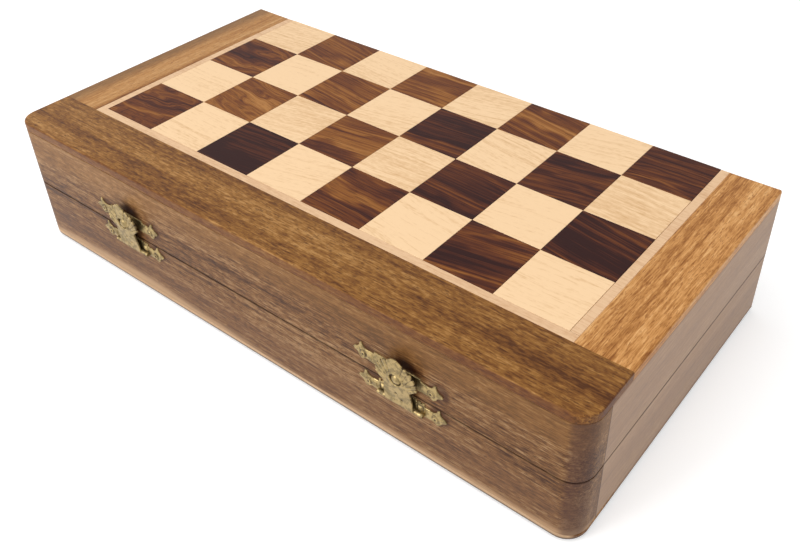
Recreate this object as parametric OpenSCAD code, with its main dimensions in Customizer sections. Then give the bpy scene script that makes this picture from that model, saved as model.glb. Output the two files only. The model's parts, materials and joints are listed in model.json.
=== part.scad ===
// Folding chess set: a shallow box whose two halves open into a chess board, with the chessmen stored inside.
// Millimetres. The closed case stands on its lower board, +Z is up and the latches face -Y.
// The origin is the middle of the case's underside.

/* [Board] */
// Side of one square
square_side = 31.5; // [28:0.5:40]
// Width of the maple strip round the squares
strip_w = 4; // [2:0.5:8]
// Width of the side rails
side_rail_w = 22.5; // [18:0.5:40]
// Width of the front rail
front_rail_w = 27.5; // [20:0.5:45]
// Width trimmed off the row of squares at the hinge edge
back_trim = 2.5; // [0:0.5:6]
// Thickness of the rails, strips and squares
face_t = 4; // [2:0.5:6]
// Glue line left round each square
glue_line = 0.1; // [0.05:0.05:0.3]

/* [Case] */
// Height of the closed case
case_h = 65; // [64:1:100]
// Gap between the two halves when the case is shut
parting_gap = 0.3; // [0.1:0.1:0.8]
// Thickness of the front walls
front_wall_t = 14; // [12:0.5:18]
// Thickness of the side walls
side_wall_t = 10; // [6:0.5:14]
// Thickness of the back walls
back_wall_t = 10; // [9:0.5:12]
// Thickness of the plywood under the squares
board_base_t = 3; // [2:0.5:3.5]
// Radius of the upright corners at the front
front_corner_r = 9; // [4:0.5:12]
// Radius of the upright corners at the back
back_corner_r = 1.2; // [0.4:0.1:3]
// Rounding of the outer edges of the underside
underside_edge_r = 3; // [0.4:0.2:3.6]
// Rounding of the outer edges of the lid's board
lid_edge_r = 0.8; // [0.4:0.2:3.6]

/* [Insert] */
// Thickness of the felt that lines the board base
felt_t = 1; // [0.5:0.1:1.2]
// Height of the bars between the slots
slot_bar_h = 14; // [8:0.5:18]
// Height of the bars across the ends of the slots
cross_bar_h = 10; // [6:0.5:16]
// Width of the bars across the ends of the slots
cross_bar_w = 5; // [3:0.5:7]
// Clearance between a chessman and its slot
slot_clear = 0.2; // [0.1:0.05:0.5]
// Rounding of the upper edges of the bars
bar_round = 2; // [0.5:0.25:2.4]

/* [Hinges] */
// Distance between the middles of the two hinges
hinge_spacing = 190; // [120:5:210]
// Length of a hinge
hinge_l = 38; // [30:1:50]
// Width of a hinge leaf, from its pin
leaf_w = 8.8; // [8.2:0.1:9]
// Thickness of a hinge leaf
leaf_t = 1.2; // [0.8:0.1:1.8]
// Outer radius of the knuckles
knuckle_r = 2.4; // [2:0.1:2.8]
// Radius of the hinge pin
hinge_pin_r = 1.2; // [0.8:0.1:1.4]
// Distance between the two screws of a leaf
screw_spacing = 24; // [16:1:28]
// Radius of a screw's shank
screw_r = 1; // [0.7:0.1:1.2]
// Radius of a screw's head
screw_head_r = 2; // [1.6:0.1:2.2]
// Length of a screw
screw_l = 9; // [6:0.5:12]

/* [Latches] */
// Distance between the middles of the two latches
latch_spacing = 155; // [110:0.5:220]
// Thickness of the two plates of a latch
plate_t = 0.5; // [0.4:0.05:0.7]
// Distance from a plate's middle to its nails
nail_x = 15.7; // [15:0.1:18]
// Width of the straight middle of a plate
plate_mid_w = 21.4; // [20:0.2:23]
// Depth of the lower plate's nails below the parting
lower_nail_drop = 5.3; // [5.1:0.1:5.8]
// Height of the catch's nails above the parting
catch_nail_rise = 7.2; // [6.6:0.1:8]
// Height of the catch's upper edge above the parting
catch_top = 11; // [10.2:0.1:12.5]
// How far the left catch's plate sits to the left of its nose
left_catch_shift = 0.6; // [-1:0.1:2.5]
// How far the right catch's plate sits to the left of its nose
right_catch_shift = 1.8; // [-1:0.1:2.5]
// Turn of the right catch's plate out of the level, as it was nailed on, in degrees
right_catch_turn = -2.5; // [-3:0.5:0]
// Depth of the flap's hinge line below the parting
flap_drop = 6.5; // [6.2:0.1:7.2]
// Distance from the flap's hinge line to its peak
flap_l = 24.5; // [24:0.1:25.4]
// Thickness of the flap
flap_t = 0.5; // [0.4:0.05:0.6]
// Width of the flap's shell
shell_w = 19; // [18:0.2:20]
// Width of the flap's tab
tab_w = 13.2; // [12.4:0.1:14]
// Width of the flap's waist
waist_w = 11.6; // [10:0.1:12.2]
// Lean of the flap away from the wall, in degrees
flap_lean = 4.5; // [3:0.5:6]
// Radius of the hole over the nose
flap_hole_r = 2.7; // [2.5:0.1:3]
// Radius of the nose on the catch
nose_r = 2.2; // [1.6:0.1:2.3]
// Radius of the flap's pin
flap_pin_r = 0.4; // [0.35:0.05:0.5]
// Radius of a nail's shank
nail_r = 0.6; // [0.4:0.05:0.8]
// Radius of a nail's head
nail_head_r = 1.3; // [1.1:0.1:1.6]
// Length of a nail
nail_l = 9; // [6:0.5:10]

/* [Chessmen] */
// Height of the king
king_h = 63; // [58:1:66]
// Height of the queen
queen_h = 57; // [50:1:64]
// Height of a bishop
bishop_h = 50; // [44:1:58]
// Height of a knight
knight_h = 43; // [38:1:50]
// Height of a rook
rook_h = 38; // [34:1:46]
// Height of a pawn
pawn_h = 35; // [31:1:38]
// Diameter of the king's base
king_d = 23; // [20:0.5:23]
// Diameter of the queen's base
queen_d = 22; // [19:0.5:23]
// Diameter of the bases of the bishops, knights and rooks
officer_d = 20; // [18:0.5:22]
// Diameter of a pawn's base
pawn_d = 17.5; // [15:0.5:20]
// Thickness of the felt under a chessman
man_felt_t = 0.8; // [0.4:0.1:1.2]

/* [Hidden] */
$fn = 48;

// Colours
wall_wood = "#8e6a4c";
rail_wood = "#ad7f50";
maple = "#f3d6a5";
dark_wood = "#5a3524";
plywood = "#d8b98a";
felt_green = "#1f5138";
brass = "#b5a468";
pinch = 0.01;

// The board: eight files along the case and four ranks on each half
files = 8;
ranks = 4;
board_l = files * square_side;
board_d = ranks * square_side - back_trim;

// The case
case_l = board_l + 2 * (strip_w + side_rail_w);
case_d = front_rail_w + strip_w + board_d;
front_y = -case_d / 2;
back_y = case_d / 2;
parting_z = case_h / 2;
rim_z = parting_z - parting_gap / 2;
rail_front_y = front_y + front_rail_w;
board_front_y = rail_front_y + strip_w;
rail_x = case_l / 2 - side_rail_w;
board_x = board_l / 2;

// The space inside one half
inner_x = case_l / 2 - side_wall_t;
inner_front_y = front_y + front_wall_t;
inner_back_y = back_y - back_wall_t;
felt_z = face_t + board_base_t;
floor_z = felt_z + felt_t;

// The hinges: the pin lies where the planes of the parting and of the back faces meet
hinge_y = back_y + parting_gap / 2;
fit_gap = 0.05;
knuckles = 5;
knuckle_gap = 0.2;
knuckle_l = (hinge_l - (knuckles - 1) * knuckle_gap) / knuckles;
leaf_clear = 0.3;
screw_y = hinge_y - (leaf_w + knuckle_r) / 2;
slot_cut = 0.5;

// The latches, in their own plane: u along the wall, v up from the parting
flap_pin_clear = 0.05;
curl_r = flap_pin_r + flap_pin_clear + flap_t;
curl_clear = 0.25;
flap_axis_y = front_y - curl_r - 0.3;
flap_axis_z = parting_z - flap_drop;
curl_gap = 0.15;
sheet_sink = 0.06;
tab_root = 2.4;
nose_v = 7.2;
nose_gap = 0.35;
hole_lift = 0.4;
nose_in_flap = nose_v + flap_drop;
nose_h = (front_y - flap_axis_y) + (flap_pin_r + flap_pin_clear) + nose_in_flap * tan(flap_lean) - nose_gap;
plate_top_v = -0.9;
catch_shifts = [left_catch_shift, right_catch_shift];
catch_turns = [0, right_catch_turn];
level = [0, 0];
ear_drop = 2.2;
waist_v = 9.8;
fan_v = waist_v - 1.2;
nail_head_h = 0.6;

// The slots: pawns along the front, the other chessmen along the hinge side
row_of = ["rook", "knight", "bishop", "queen", "king", "bishop", "knight", "rook"];
slot_pitch = 2 * inner_x / files;
end_gap = 0.8;
bar_gap = 0.2;
row_gap = 2.4;
foot_h = 3;
function slot_x(i) = -inner_x + (i + 0.5) * slot_pitch;
function base_d(kind) =
    kind == "king" ? king_d : kind == "queen" ? queen_d : kind == "pawn" ? pawn_d : officer_d;
function man_h(kind) =
    kind == "king" ? king_h : kind == "queen" ? queen_h : kind == "bishop" ? bishop_h
    : kind == "knight" ? knight_h : kind == "rook" ? rook_h : pawn_h;
longest_h = max([for (kind = row_of) man_h(kind)]);
back_cross_y = inner_back_y - longest_h - man_felt_t - row_gap;
front_cross_y = inner_front_y + pawn_h + man_felt_t + row_gap;

// Where the collars of the tall men lie, as shares of their height
crown_collar = 0.56;
mitre_collar = 0.54;

// Heads of the chessmen: where the widest ring of each head lies, and how thick that ring's rim is
king_crown_r = 7;
king_crown_z = king_h - 12;
queen_crown_r = 6.8;
queen_crown_z = queen_h - 7;
mitre_r = 5.4;
mitre_z = bishop_h - 12.4;
knight_t = 10;
knight_cheek_z = knight_h - 13;
rook_crown_r = 7.2;
pawn_head_r = 5.2;

// Angle at which a chessman lies when its foot and its head both touch the floor
function lie_angle(foot_r, head_ring_r, head_z, head_rim) =
    let (across = foot_r - foot_h / 2 - head_ring_r, along = head_z - foot_h / 2)
    acos((head_rim - foot_h / 2) / norm([across, along])) - atan2(along, across);
function man_angle(kind) =
    kind == "king" ? lie_angle(king_d / 2, king_crown_r, king_crown_z, 0)
    : kind == "queen" ? lie_angle(queen_d / 2, queen_crown_r, queen_crown_z, 0)
    : kind == "bishop" ? lie_angle(officer_d / 2, 0, mitre_z, mitre_r)
    : kind == "knight" ? lie_angle(officer_d / 2, 0, knight_cheek_z, knight_t / 2)
    : kind == "rook" ? lie_angle(officer_d / 2, rook_crown_r, rook_h, 0)
    : lie_angle(pawn_d / 2, 0, pawn_h - pawn_head_r, pawn_head_r);

// Placing

// Turns what is drawn for the lower half over into the lid
module in_lid() {
    translate([0, 0, case_h]) mirror([0, 0, 1]) children();
}

// A flat shape drawn in a latch's plane, made thick and put on the front wall, standing off by off
module on_front(x, t, off = 0) {
    translate([x, front_y - off, parting_z]) rotate([90, 0, 0]) linear_extrude(t) children();
}

// Lays a chessman in column i on the floor felt, its foot to the back wall or to the front wall
module lay_man(kind, i, foot_back = true) {
    angle = man_angle(kind);
    foot_r = base_d(kind) / 2;
    lift = (foot_r - foot_h / 2) * cos(angle) + foot_h / 2 * (1 + sin(angle)) + 0.05;
    heel = foot_r * sin(angle) + man_felt_t + end_gap;
    wall_y = foot_back ? inner_back_y - heel : inner_front_y + heel;
    translate([slot_x(i), wall_y, floor_z + lift])
        rotate([0, 0, foot_back ? 0 : 180]) rotate([90 + angle, 0, 0]) children();
}

// The case

// Outline of the case seen from above
module case_outline() {
    front_x = case_l / 2 - front_corner_r;
    back_x = case_l / 2 - back_corner_r;
    translate([-case_l / 2, front_y + front_corner_r])
        square([case_l, case_d - front_corner_r - back_corner_r]);
    translate([-front_x, front_y]) square([2 * front_x, case_d / 2]);
    translate([-back_x, 0]) square([2 * back_x, case_d / 2]);
    for (s = [-1, 1]) {
        translate([s * front_x, front_y + front_corner_r]) circle(front_corner_r);
        translate([s * back_x, back_y - back_corner_r]) circle(back_corner_r);
    }
}

// What comes off a square edge to round it, in section: the edge is at the origin and the wood is at +x, +y
module edge_waste(edge_r) {
    r = min(edge_r, face_t - 0.4);
    difference() {
        translate([-1, -1]) square(r + 1);
        translate([r, r]) circle(r);
    }
}

// Rounds the board's outer edge along the front, the sides and the two front corners
module edge_cuts(edge_r) {
    front_x = case_l / 2 - front_corner_r;
    translate([-front_x, front_y, 0]) rotate([90, 0, 90]) linear_extrude(2 * front_x) edge_waste(edge_r);
    for (s = [0, 1]) mirror([s, 0, 0]) {
        translate([-case_l / 2, back_y + 1, 0]) rotate([90, 0, 0])
            linear_extrude(case_d - front_corner_r + 1) edge_waste(edge_r);
        translate([-front_x, front_y + front_corner_r, 0]) rotate([0, 0, 180])
            rotate_extrude(angle = 90) translate([front_corner_r, 0]) mirror([1, 0]) edge_waste(edge_r);
    }
}

// A slab of the case between two heights, inside a box from above
module case_slab(z0, z1, low, high) {
    translate([0, 0, z0]) linear_extrude(z1 - z0) intersection() {
        case_outline();
        translate(low) square(high - low);
    }
}

// The lower half's front wall, drilled for the nails of a plate of each latch
module front_wall(nail_depth, nail_shifts, nail_turns) {
    color(wall_wood) difference() {
        case_slab(face_t, rim_z, [-case_l, front_y - 1], [case_l, inner_front_y]);
        nail_places(-nail_depth, nail_shifts, nail_turns) cylinder(r = nail_r + fit_gap, h = nail_l + 1);
    }
}

module left_wall() {
    color(wall_wood)
        case_slab(face_t, rim_z, [-case_l, inner_front_y], [-inner_x, back_y + 1]);
}

module right_wall() {
    mirror([1, 0, 0]) left_wall();
}

// The back wall lies between the side walls, with mortises for the hinges
module back_wall() {
    color(wall_wood) difference() {
        case_slab(face_t, rim_z, [-inner_x, inner_back_y], [inner_x, back_y + 1]);
        for (s = [-1, 1]) translate([s * hinge_spacing / 2, hinge_y, 0]) {
            translate([-hinge_l / 2 - fit_gap, -leaf_w - fit_gap, rim_z - leaf_t])
                cube([hinge_l + 2 * fit_gap, leaf_w + 2, leaf_t + 1]);
            translate([-hinge_l / 2 - leaf_clear, 0, parting_z]) rotate([0, 90, 0])
                cylinder(r = knuckle_r + leaf_clear, h = hinge_l + 2 * leaf_clear);
        }
        hinge_screw_places() translate([0, 0, -screw_l - fit_gap])
            cylinder(r = screw_r + fit_gap, h = screw_l);
    }
}

module board_base() {
    color(plywood) translate([-inner_x, inner_front_y, face_t])
        cube([2 * inner_x, inner_back_y - inner_front_y, board_base_t]);
}

module front_rail(edge_r) {
    color(rail_wood) difference() {
        case_slab(0, face_t, [-case_l, front_y - 1], [case_l, rail_front_y]);
        edge_cuts(edge_r);
    }
}

module left_rail(edge_r) {
    color(rail_wood) difference() {
        case_slab(0, face_t, [-case_l, rail_front_y], [-rail_x, back_y + 1]);
        edge_cuts(edge_r);
    }
}

module right_rail(edge_r) {
    mirror([1, 0, 0]) left_rail(edge_r);
}

// One strip along the front rail and one along each side rail, none at the hinge edge
module maple_strips() {
    color(maple) {
        translate([-rail_x, rail_front_y, 0]) cube([2 * rail_x, strip_w - glue_line, face_t]);
        for (s = [0, 1]) mirror([s, 0, 0]) translate([-rail_x, board_front_y, 0])
            cube([strip_w - glue_line, back_y - board_front_y, face_t]);
    }
}

// Every second square, cut short at the hinge edge
module squares(odd, wood) {
    color(wood) for (i = [0 : files - 1], j = [0 : ranks - 1]) if ((i + j) % 2 == odd) {
        y0 = board_front_y + j * square_side;
        y1 = min(y0 + square_side - glue_line, back_y);
        translate([-board_x + i * square_side, y0, 0]) cube([square_side - glue_line, y1 - y0, face_t]);
    }
}

// The insert

module felt_lining() {
    color(felt_green) translate([-inner_x, inner_front_y, felt_z])
        cube([2 * inner_x, inner_back_y - inner_front_y, felt_t]);
}

// A bar with rounded upper edges, w wide in x and l long in y, standing on the floor felt
module felt_bar(x, y, w, l, h) {
    r = min(bar_round, w / 2 - pinch);
    translate([x, y + l, floor_z]) rotate([90, 0, 0]) linear_extrude(l) {
        square([w, h - r]);
        translate([r, h - 2 * r]) square([w - 2 * r, 2 * r]);
        for (cx = [r, w - r]) translate([cx, h - r]) circle(r);
    }
}

// Bars between and beside the slots of one row; half_w holds half the width of each slot
module row_bars(half_w, y0, y1) {
    for (i = [0 : files]) {
        x0 = i == 0 ? -inner_x : slot_x(i - 1) + half_w[i - 1];
        x1 = i == files ? inner_x : slot_x(i) - half_w[i];
        felt_bar(x0, y0, x1 - x0, y1 - y0, slot_bar_h);
    }
}

// A bar right across the insert, its front side at y, which closes one row's slots
module cross_bar(y) {
    translate([0, y, 0]) rotate([0, 0, 90])
        translate([0, -inner_x, 0]) felt_bar(0, 0, cross_bar_w, 2 * inner_x, cross_bar_h);
}

module slot_bars() {
    color(felt_green) {
        row_bars([for (kind = row_of) base_d(kind) / 2 + slot_clear], back_cross_y + bar_gap, inner_back_y);
        row_bars([for (kind = row_of) pawn_d / 2 + slot_clear], inner_front_y, front_cross_y - bar_gap);
        cross_bar(back_cross_y - cross_bar_w);
        cross_bar(front_cross_y);
    }
}

// The hinges

// The lower half's screws stand at these points, on the leaves' faces
module hinge_screw_places() {
    for (s = [-1, 1], t = [-1, 1])
        translate([s * hinge_spacing / 2 + t * screw_spacing / 2, screw_y, rim_z]) children();
}

module knuckle_run(k, r, extra = 0) {
    translate([-hinge_l / 2 + k * (knuckle_l + knuckle_gap) - extra, 0, parting_z])
        rotate([0, 90, 0]) cylinder(r = r, h = knuckle_l + 2 * extra);
}

// Both leaves of the lower half; first is 0 for the leaf with the outer knuckles
module hinge_leaves(first) {
    color(brass) difference() {
        for (s = [-1, 1]) translate([s * hinge_spacing / 2, hinge_y, 0]) difference() {
            union() {
                translate([-hinge_l / 2, -leaf_w, rim_z - leaf_t]) cube([hinge_l, leaf_w, leaf_t]);
                for (k = [first : 2 : knuckles - 1]) knuckle_run(k, knuckle_r);
            }
            for (k = [1 - first : 2 : knuckles - 1])
                knuckle_run(k, knuckle_r + leaf_clear, knuckle_gap);
            translate([-hinge_l, 0, parting_z]) rotate([0, 90, 0])
                cylinder(r = hinge_pin_r + fit_gap, h = 2 * hinge_l);
        }
        hinge_screw_places() screw_body(fit_gap);
    }
}

// A countersunk screw, its head's face at the origin
module screw_body(gap = 0) {
    head_h = screw_head_r - screw_r;
    translate([0, 0, -screw_l]) cylinder(r = screw_r + gap, h = screw_l);
    translate([0, 0, -head_h]) cylinder(r1 = screw_r + gap, r2 = screw_head_r + gap, h = head_h);
}

module hinge_screws() {
    color(brass) hinge_screw_places() translate([0, 0, -pinch]) difference() {
        screw_body();
        translate([-screw_head_r - 1, -slot_cut / 2, -slot_cut])
            cube([2 * screw_head_r + 2, slot_cut, slot_cut + 1]);
    }
}

module hinge_pins() {
    color(brass) for (s = [-1, 1]) translate([s * hinge_spacing / 2 - hinge_l / 2, hinge_y, parting_z])
        rotate([0, 90, 0]) cylinder(r = hinge_pin_r, h = hinge_l);
}

// The latches

// Every nail of one row of plates, v above the parting, pointing into the wall; the left and the right
// latch's plates are moved along the wall by shifts and turned out of the level by turns
module nail_places(v, shifts, turns) {
    for (k = [0, 1], t = [-1, 1])
        translate([(k - 0.5) * latch_spacing + shifts[k] + t * nail_x * cos(turns[k]), front_y,
                   parting_z + v + t * nail_x * sin(turns[k])])
            rotate([-90, 0, 0]) children();
}

// An ear with three leaf points round its nail, which is at the origin; the plate is at -u
module ear_2d() {
    neck = nail_x - plate_mid_w / 2 + 0.5;
    difference() {
        polygon([[-neck, -2], [-1.6, -2], [1, -2.9], [4.9, 0.7], [1.5, 4.9], [-1.7, 2.6], [-neck, 2.6]]);
        translate([4.3, 4.1]) circle(2.4);
        translate([4.3, -2.3]) circle(2.2);
        translate([-1.7, 5]) circle(2.6);
        translate([-1.8, -4.3]) circle(2.5);
        circle(nail_r + fit_gap);
    }
}

module ears_2d(v) {
    for (s = [0, 1]) mirror([s, 0]) translate([nail_x, v]) ear_2d();
}

// Plate on the lower half, with the outer parts of the flap's hinge curled up from its lower edge
module latch_plate(x) {
    curl_l = (plate_mid_w - tab_w) / 2 - curl_gap;
    boss = 2.4;
    notch_w = 0.8;
    notch_depth = 0.8;
    notch_edge = 1.4;
    notch_pitch = 1.9;
    color(brass) {
        difference() {
            union() {
                on_front(x, plate_t) difference() {
                    union() {
                        translate([-plate_mid_w / 2, -flap_drop])
                            square([plate_mid_w, plate_top_v + flap_drop]);
                        ears_2d(-lower_nail_drop);
                    }
                    for (s = [-1, 1], k = [0, 1])
                        translate([s * (plate_mid_w / 2 - notch_edge - notch_pitch * k) - notch_w / 2,
                                   plate_top_v - notch_depth]) square([notch_w, 2 * notch_depth]);
                }
                for (s = [-1, 1]) translate([s * (plate_mid_w - curl_l) / 2, 0, 0]) {
                    on_front(x, plate_t / 2 + boss / 5) translate([-boss / 2, -lower_nail_drop])
                        square([boss, boss]);
                    translate([x - curl_l / 2, flap_axis_y, flap_axis_z]) rotate([0, 90, 0])
                        cylinder(r = curl_r, h = curl_l);
                    translate([x - curl_l / 2, flap_axis_y, flap_axis_z])
                        cube([curl_l, front_y - flap_axis_y, curl_r - sheet_sink]);
                }
            }
            translate([x - tab_w / 2 - curl_gap, flap_axis_y, flap_axis_z]) rotate([0, 90, 0])
                cylinder(r = curl_r + curl_clear, h = tab_w + 2 * curl_gap);
            translate([x - plate_mid_w, flap_axis_y, flap_axis_z]) rotate([0, 90, 0])
                cylinder(r = flap_pin_r + flap_pin_clear, h = 2 * plate_mid_w);
        }
    }
}

// Plate on the lid, with the nose that the flap drops over
module latch_catch(x, shift, turn) {
    color(brass) {
        on_front(x - shift, plate_t) translate([0, catch_nail_rise]) rotate(turn) {
            translate([-plate_mid_w / 2, -ear_drop]) square([plate_mid_w, catch_top - catch_nail_rise + ear_drop]);
            ears_2d(0);
        }
        translate([x, front_y, parting_z + nose_v]) rotate([90, 0, 0]) {
            cylinder(r = nose_r, h = nose_h - nose_r / 2);
            translate([0, 0, nose_h - nose_r / 2]) cylinder(r1 = nose_r, r2 = nose_r / 2, h = nose_r / 2);
        }
    }
}

// Outline of the flap from its hinge line at v = 0: a tab, a waist and a scalloped shell with a peak
module flap_2d() {
    peak_rise = 1.2;
    shell_v = flap_l - shell_w / 2 - peak_rise;
    corner_u = shell_w / 2 - 0.3;
    corner_v = shell_v - 0.8;
    taper_v = 4.6;
    lobes = 11;
    lobe_r = 1.7;
    ring_r = shell_w / 2 - lobe_r;
    difference() {
        union() {
            polygon([[-tab_w / 2, tab_root], [tab_w / 2, tab_root], [tab_w / 2, taper_v], [waist_w / 2, waist_v],
                     [corner_u, corner_v], [-corner_u, corner_v],
                     [-waist_w / 2, waist_v], [-tab_w / 2, taper_v]]);
            translate([0, shell_v]) circle(ring_r);
            translate([0, shell_v]) for (i = [0 : lobes - 1]) rotate(i * 180 / (lobes - 1))
                translate([ring_r, 0]) circle(lobe_r);
            translate([0, flap_l - lobe_r]) circle(lobe_r);
        }
        translate([0, nose_in_flap + hole_lift]) circle(flap_hole_r);
    }
}

// Ribs that fan out over the shell from its waist, left and right of the hole
module flap_ribs_2d() {
    rib_w = 0.7;
    rib_l = 4;
    rib_start = nose_in_flap + hole_lift - fan_v + flap_hole_r - 0.6;
    for (s = [-1, 1], a = [22, 34, 46]) translate([0, fan_v]) rotate(90 - s * a)
        translate([rib_start, -rib_w / 2]) square([rib_l, rib_w]);
}

// Section of the flap's curl and of the root of its tab, seen along the pin
module flap_curl_2d() {
    difference() {
        union() {
            circle(curl_r);
            translate([sheet_sink - curl_r, 0]) square([flap_t, tab_root]);
        }
        circle(flap_pin_r + flap_pin_clear);
    }
}

// The flap leans out from its curl, which turns on the pin
module latch_flap(x) {
    rib_h = 0.35;
    sheet_top = curl_r - sheet_sink;
    color(brass) translate([x, flap_axis_y, flap_axis_z]) rotate([90 + flap_lean, 0, 0]) {
        translate([-tab_w / 2, 0, 0]) rotate([0, 90, 0]) linear_extrude(tab_w) flap_curl_2d();
        translate([0, 0, sheet_top - flap_t]) linear_extrude(flap_t) flap_2d();
        translate([0, 0, sheet_top - flap_t / 2]) linear_extrude(flap_t / 2 + rib_h) flap_ribs_2d();
    }
}

module latch_pin(x) {
    color(brass) translate([x - plate_mid_w / 2, flap_axis_y, flap_axis_z]) rotate([0, 90, 0])
        cylinder(r = flap_pin_r, h = plate_mid_w);
}

// Round-headed nails, seated on the plate
module latch_nails(v, shifts, turns) {
    sphere_r = (nail_head_r * nail_head_r + nail_head_h * nail_head_h) / (2 * nail_head_h);
    color(brass) nail_places(v, shifts, turns) {
        translate([0, 0, -plate_t]) cylinder(r = nail_r, h = nail_l);
        intersection() {
            translate([0, 0, sphere_r - nail_head_h - plate_t]) sphere(sphere_r);
            translate([0, 0, -plate_t - nail_head_h]) cylinder(r = nail_head_r + 1, h = nail_head_h);
        }
    }
}

// The chessmen, each drawn standing on z = 0

// Half section of a concave stem that narrows from r0 at z0 to r1 at z1
module flare_2d(r0, z0, r1, z1) {
    across = r0 - r1;
    up = z1 - z0;
    arc_r = (across * across + up * up) / (2 * across);
    difference() {
        translate([0, z0]) square([r0, up]);
        translate([r1 + arc_r, z1]) circle(arc_r);
    }
}

// Half section of a disc with a rounded rim, t thick, its underside at z
module bead_2d(r, z, t) {
    translate([0, z]) square([r - t / 2, t]);
    translate([r - t / 2, z + t / 2]) circle(t / 2);
}

// Foot, stem and collar that all the turned chessmen share
module stem_2d(foot_r, neck_r, collar_r, collar_z) {
    step_r = foot_r - 1.8;
    bead_2d(foot_r, 0, foot_h);
    bead_2d(step_r, foot_h, 1.8);
    flare_2d(step_r - 1, foot_h + 1.8, neck_r, collar_z);
    bead_2d(collar_r, collar_z, 1.6);
    bead_2d(collar_r - 1.2, collar_z + 1.6, 1.2);
}

module king(wood) {
    collar_z = king_h * crown_collar;
    cup_z = collar_z + 2.8;
    cross_w = 1.8;
    color(wood) {
        rotate_extrude() {
            stem_2d(king_d / 2, 3.6, 6.6, collar_z);
            polygon([[0, cup_z], [4.2, cup_z], [king_crown_r, king_crown_z], [6, king_crown_z + 1.2],
                     [0, king_crown_z + 1.2]]);
            intersection() {
                translate([0, king_crown_z - 3]) circle(6.8);
                translate([0, king_crown_z + 1]) square([6, 5]);
            }
            translate([0, king_crown_z + 3]) square([1.3, 2.6]);
        }
        translate([-cross_w / 2, -cross_w / 2, king_h - 7]) cube([cross_w, cross_w, 7]);
        translate([-2.6, -cross_w / 2, king_h - 4.4]) cube([5.2, cross_w, cross_w]);
    }
}

module queen(wood) {
    collar_z = queen_h * crown_collar;
    cup_z = collar_z + 2.8;
    points = 8;
    color(wood) difference() {
        rotate_extrude() {
            stem_2d(queen_d / 2, 3.4, 6.2, collar_z);
            polygon([[0, cup_z], [3.8, cup_z], [queen_crown_r, queen_crown_z], [4.8, queen_crown_z + 0.4],
                     [0, queen_crown_z + 0.4]]);
            intersection() {
                translate([0, queen_crown_z - 2.4]) circle(5.4);
                translate([0, queen_crown_z]) square([5, 4]);
            }
            intersection() {
                translate([0, queen_h - 2.3]) circle(2.3);
                translate([0, queen_h - 5]) square([3, 6]);
            }
        }
        for (i = [0 : points - 1]) rotate([0, 0, i * 360 / points])
            translate([queen_crown_r + 0.6, 0, queen_crown_z + 0.4]) sphere(1.5);
    }
}

module bishop(wood) {
    collar_z = bishop_h * mitre_collar;
    side_r = 11;
    color(wood) difference() {
        rotate_extrude() {
            stem_2d(officer_d / 2, 3.2, 5.8, collar_z);
            translate([0, collar_z + 2]) square([3, 3]);
            intersection() {
                translate([mitre_r - side_r, mitre_z]) circle(side_r);
                translate([0, collar_z + 2]) square([mitre_r + 1, bishop_h - collar_z]);
            }
            intersection() {
                translate([0, bishop_h - 1.7]) circle(1.7);
                translate([0, bishop_h - 4]) square([3, 5]);
            }
        }
        translate([0, -mitre_r - 1, mitre_z + 2]) rotate([0, -35, 0])
            cube([mitre_r + 3, 2 * mitre_r + 2, 0.9]);
    }
}

// A horse's head and neck, cut to its outline from the side and drawn in towards the muzzle and the ears
module knight(wood) {
    foot_top = foot_h + 1.8;
    head = knight_h - foot_top;
    color(wood) {
        rotate_extrude() {
            bead_2d(officer_d / 2, 0, foot_h);
            bead_2d(officer_d / 2 - 1.8, foot_h, 1.8);
            bead_2d(officer_d / 2 - 2.8, foot_top, 1.4);
        }
        translate([0, 0, foot_top]) intersection() {
            translate([0, knight_t / 2, 0]) rotate([90, 0, 0]) linear_extrude(knight_t) polygon([
                [-6.4, 0], [-7.2, head * 0.2], [-7.4, head * 0.42], [-6.6, head * 0.62], [-4.9, head * 0.78],
                [-2.9, head * 0.88], [-2.2, head], [-0.4, head * 0.91], [2, head * 0.86], [4.2, head * 0.78],
                [6.6, head * 0.66], [8.6, head * 0.56], [8.9, head * 0.49], [8.1, head * 0.44],
                [6.9, head * 0.45], [6.2, head * 0.43], [4.4, head * 0.47], [2.2, head * 0.46],
                [1.8, head * 0.4], [3.4, head * 0.3], [5.2, head * 0.18], [6, 0]]);
            rotate([0, 90, 0]) translate([0, 0, -10]) linear_extrude(20) polygon([
                [0, -knight_t / 2], [0, knight_t / 2], [-head * 0.6, knight_t / 2], [-head, 1.8],
                [-head, -1.8], [-head * 0.6, -knight_t / 2]]);
            translate([0, 0, -1]) linear_extrude(head + 2) polygon([
                [-9, -3.4], [-4, -knight_t / 2], [2.5, -knight_t / 2], [9.5, -2.6],
                [9.5, 2.6], [2.5, knight_t / 2], [-4, knight_t / 2], [-9, 3.4]]);
        }
    }
}

module rook(wood) {
    drum_z = rook_h - 10;
    merlons = 6;
    color(wood) difference() {
        rotate_extrude() {
            stem_2d(officer_d / 2, 5, 7, drum_z - 2.8);
            polygon([[0, drum_z], [5.6, drum_z], [6, drum_z + 4], [rook_crown_r, drum_z + 5.4],
                     [rook_crown_r, rook_h], [0, rook_h]]);
        }
        translate([0, 0, rook_h - 2.6]) cylinder(r = rook_crown_r - 2.2, h = 4);
        for (i = [0 : merlons / 2 - 1]) rotate([0, 0, i * 360 / merlons])
            translate([-10, -0.8, rook_h - 2.6]) cube([20, 1.6, 4]);
    }
}

module pawn(wood) {
    head_z = pawn_h - pawn_head_r;
    collar_z = head_z - pawn_head_r - 1.6;
    color(wood) rotate_extrude() {
        stem_2d(pawn_d / 2, 3, 5.4, collar_z);
        translate([0, collar_z + 2]) square([2.8, 4]);
        intersection() {
            translate([0, head_z]) circle(pawn_head_r);
            translate([0, head_z - pawn_head_r - 1]) square([pawn_head_r + 1, 2 * pawn_head_r + 2]);
        }
    }
}

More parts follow.
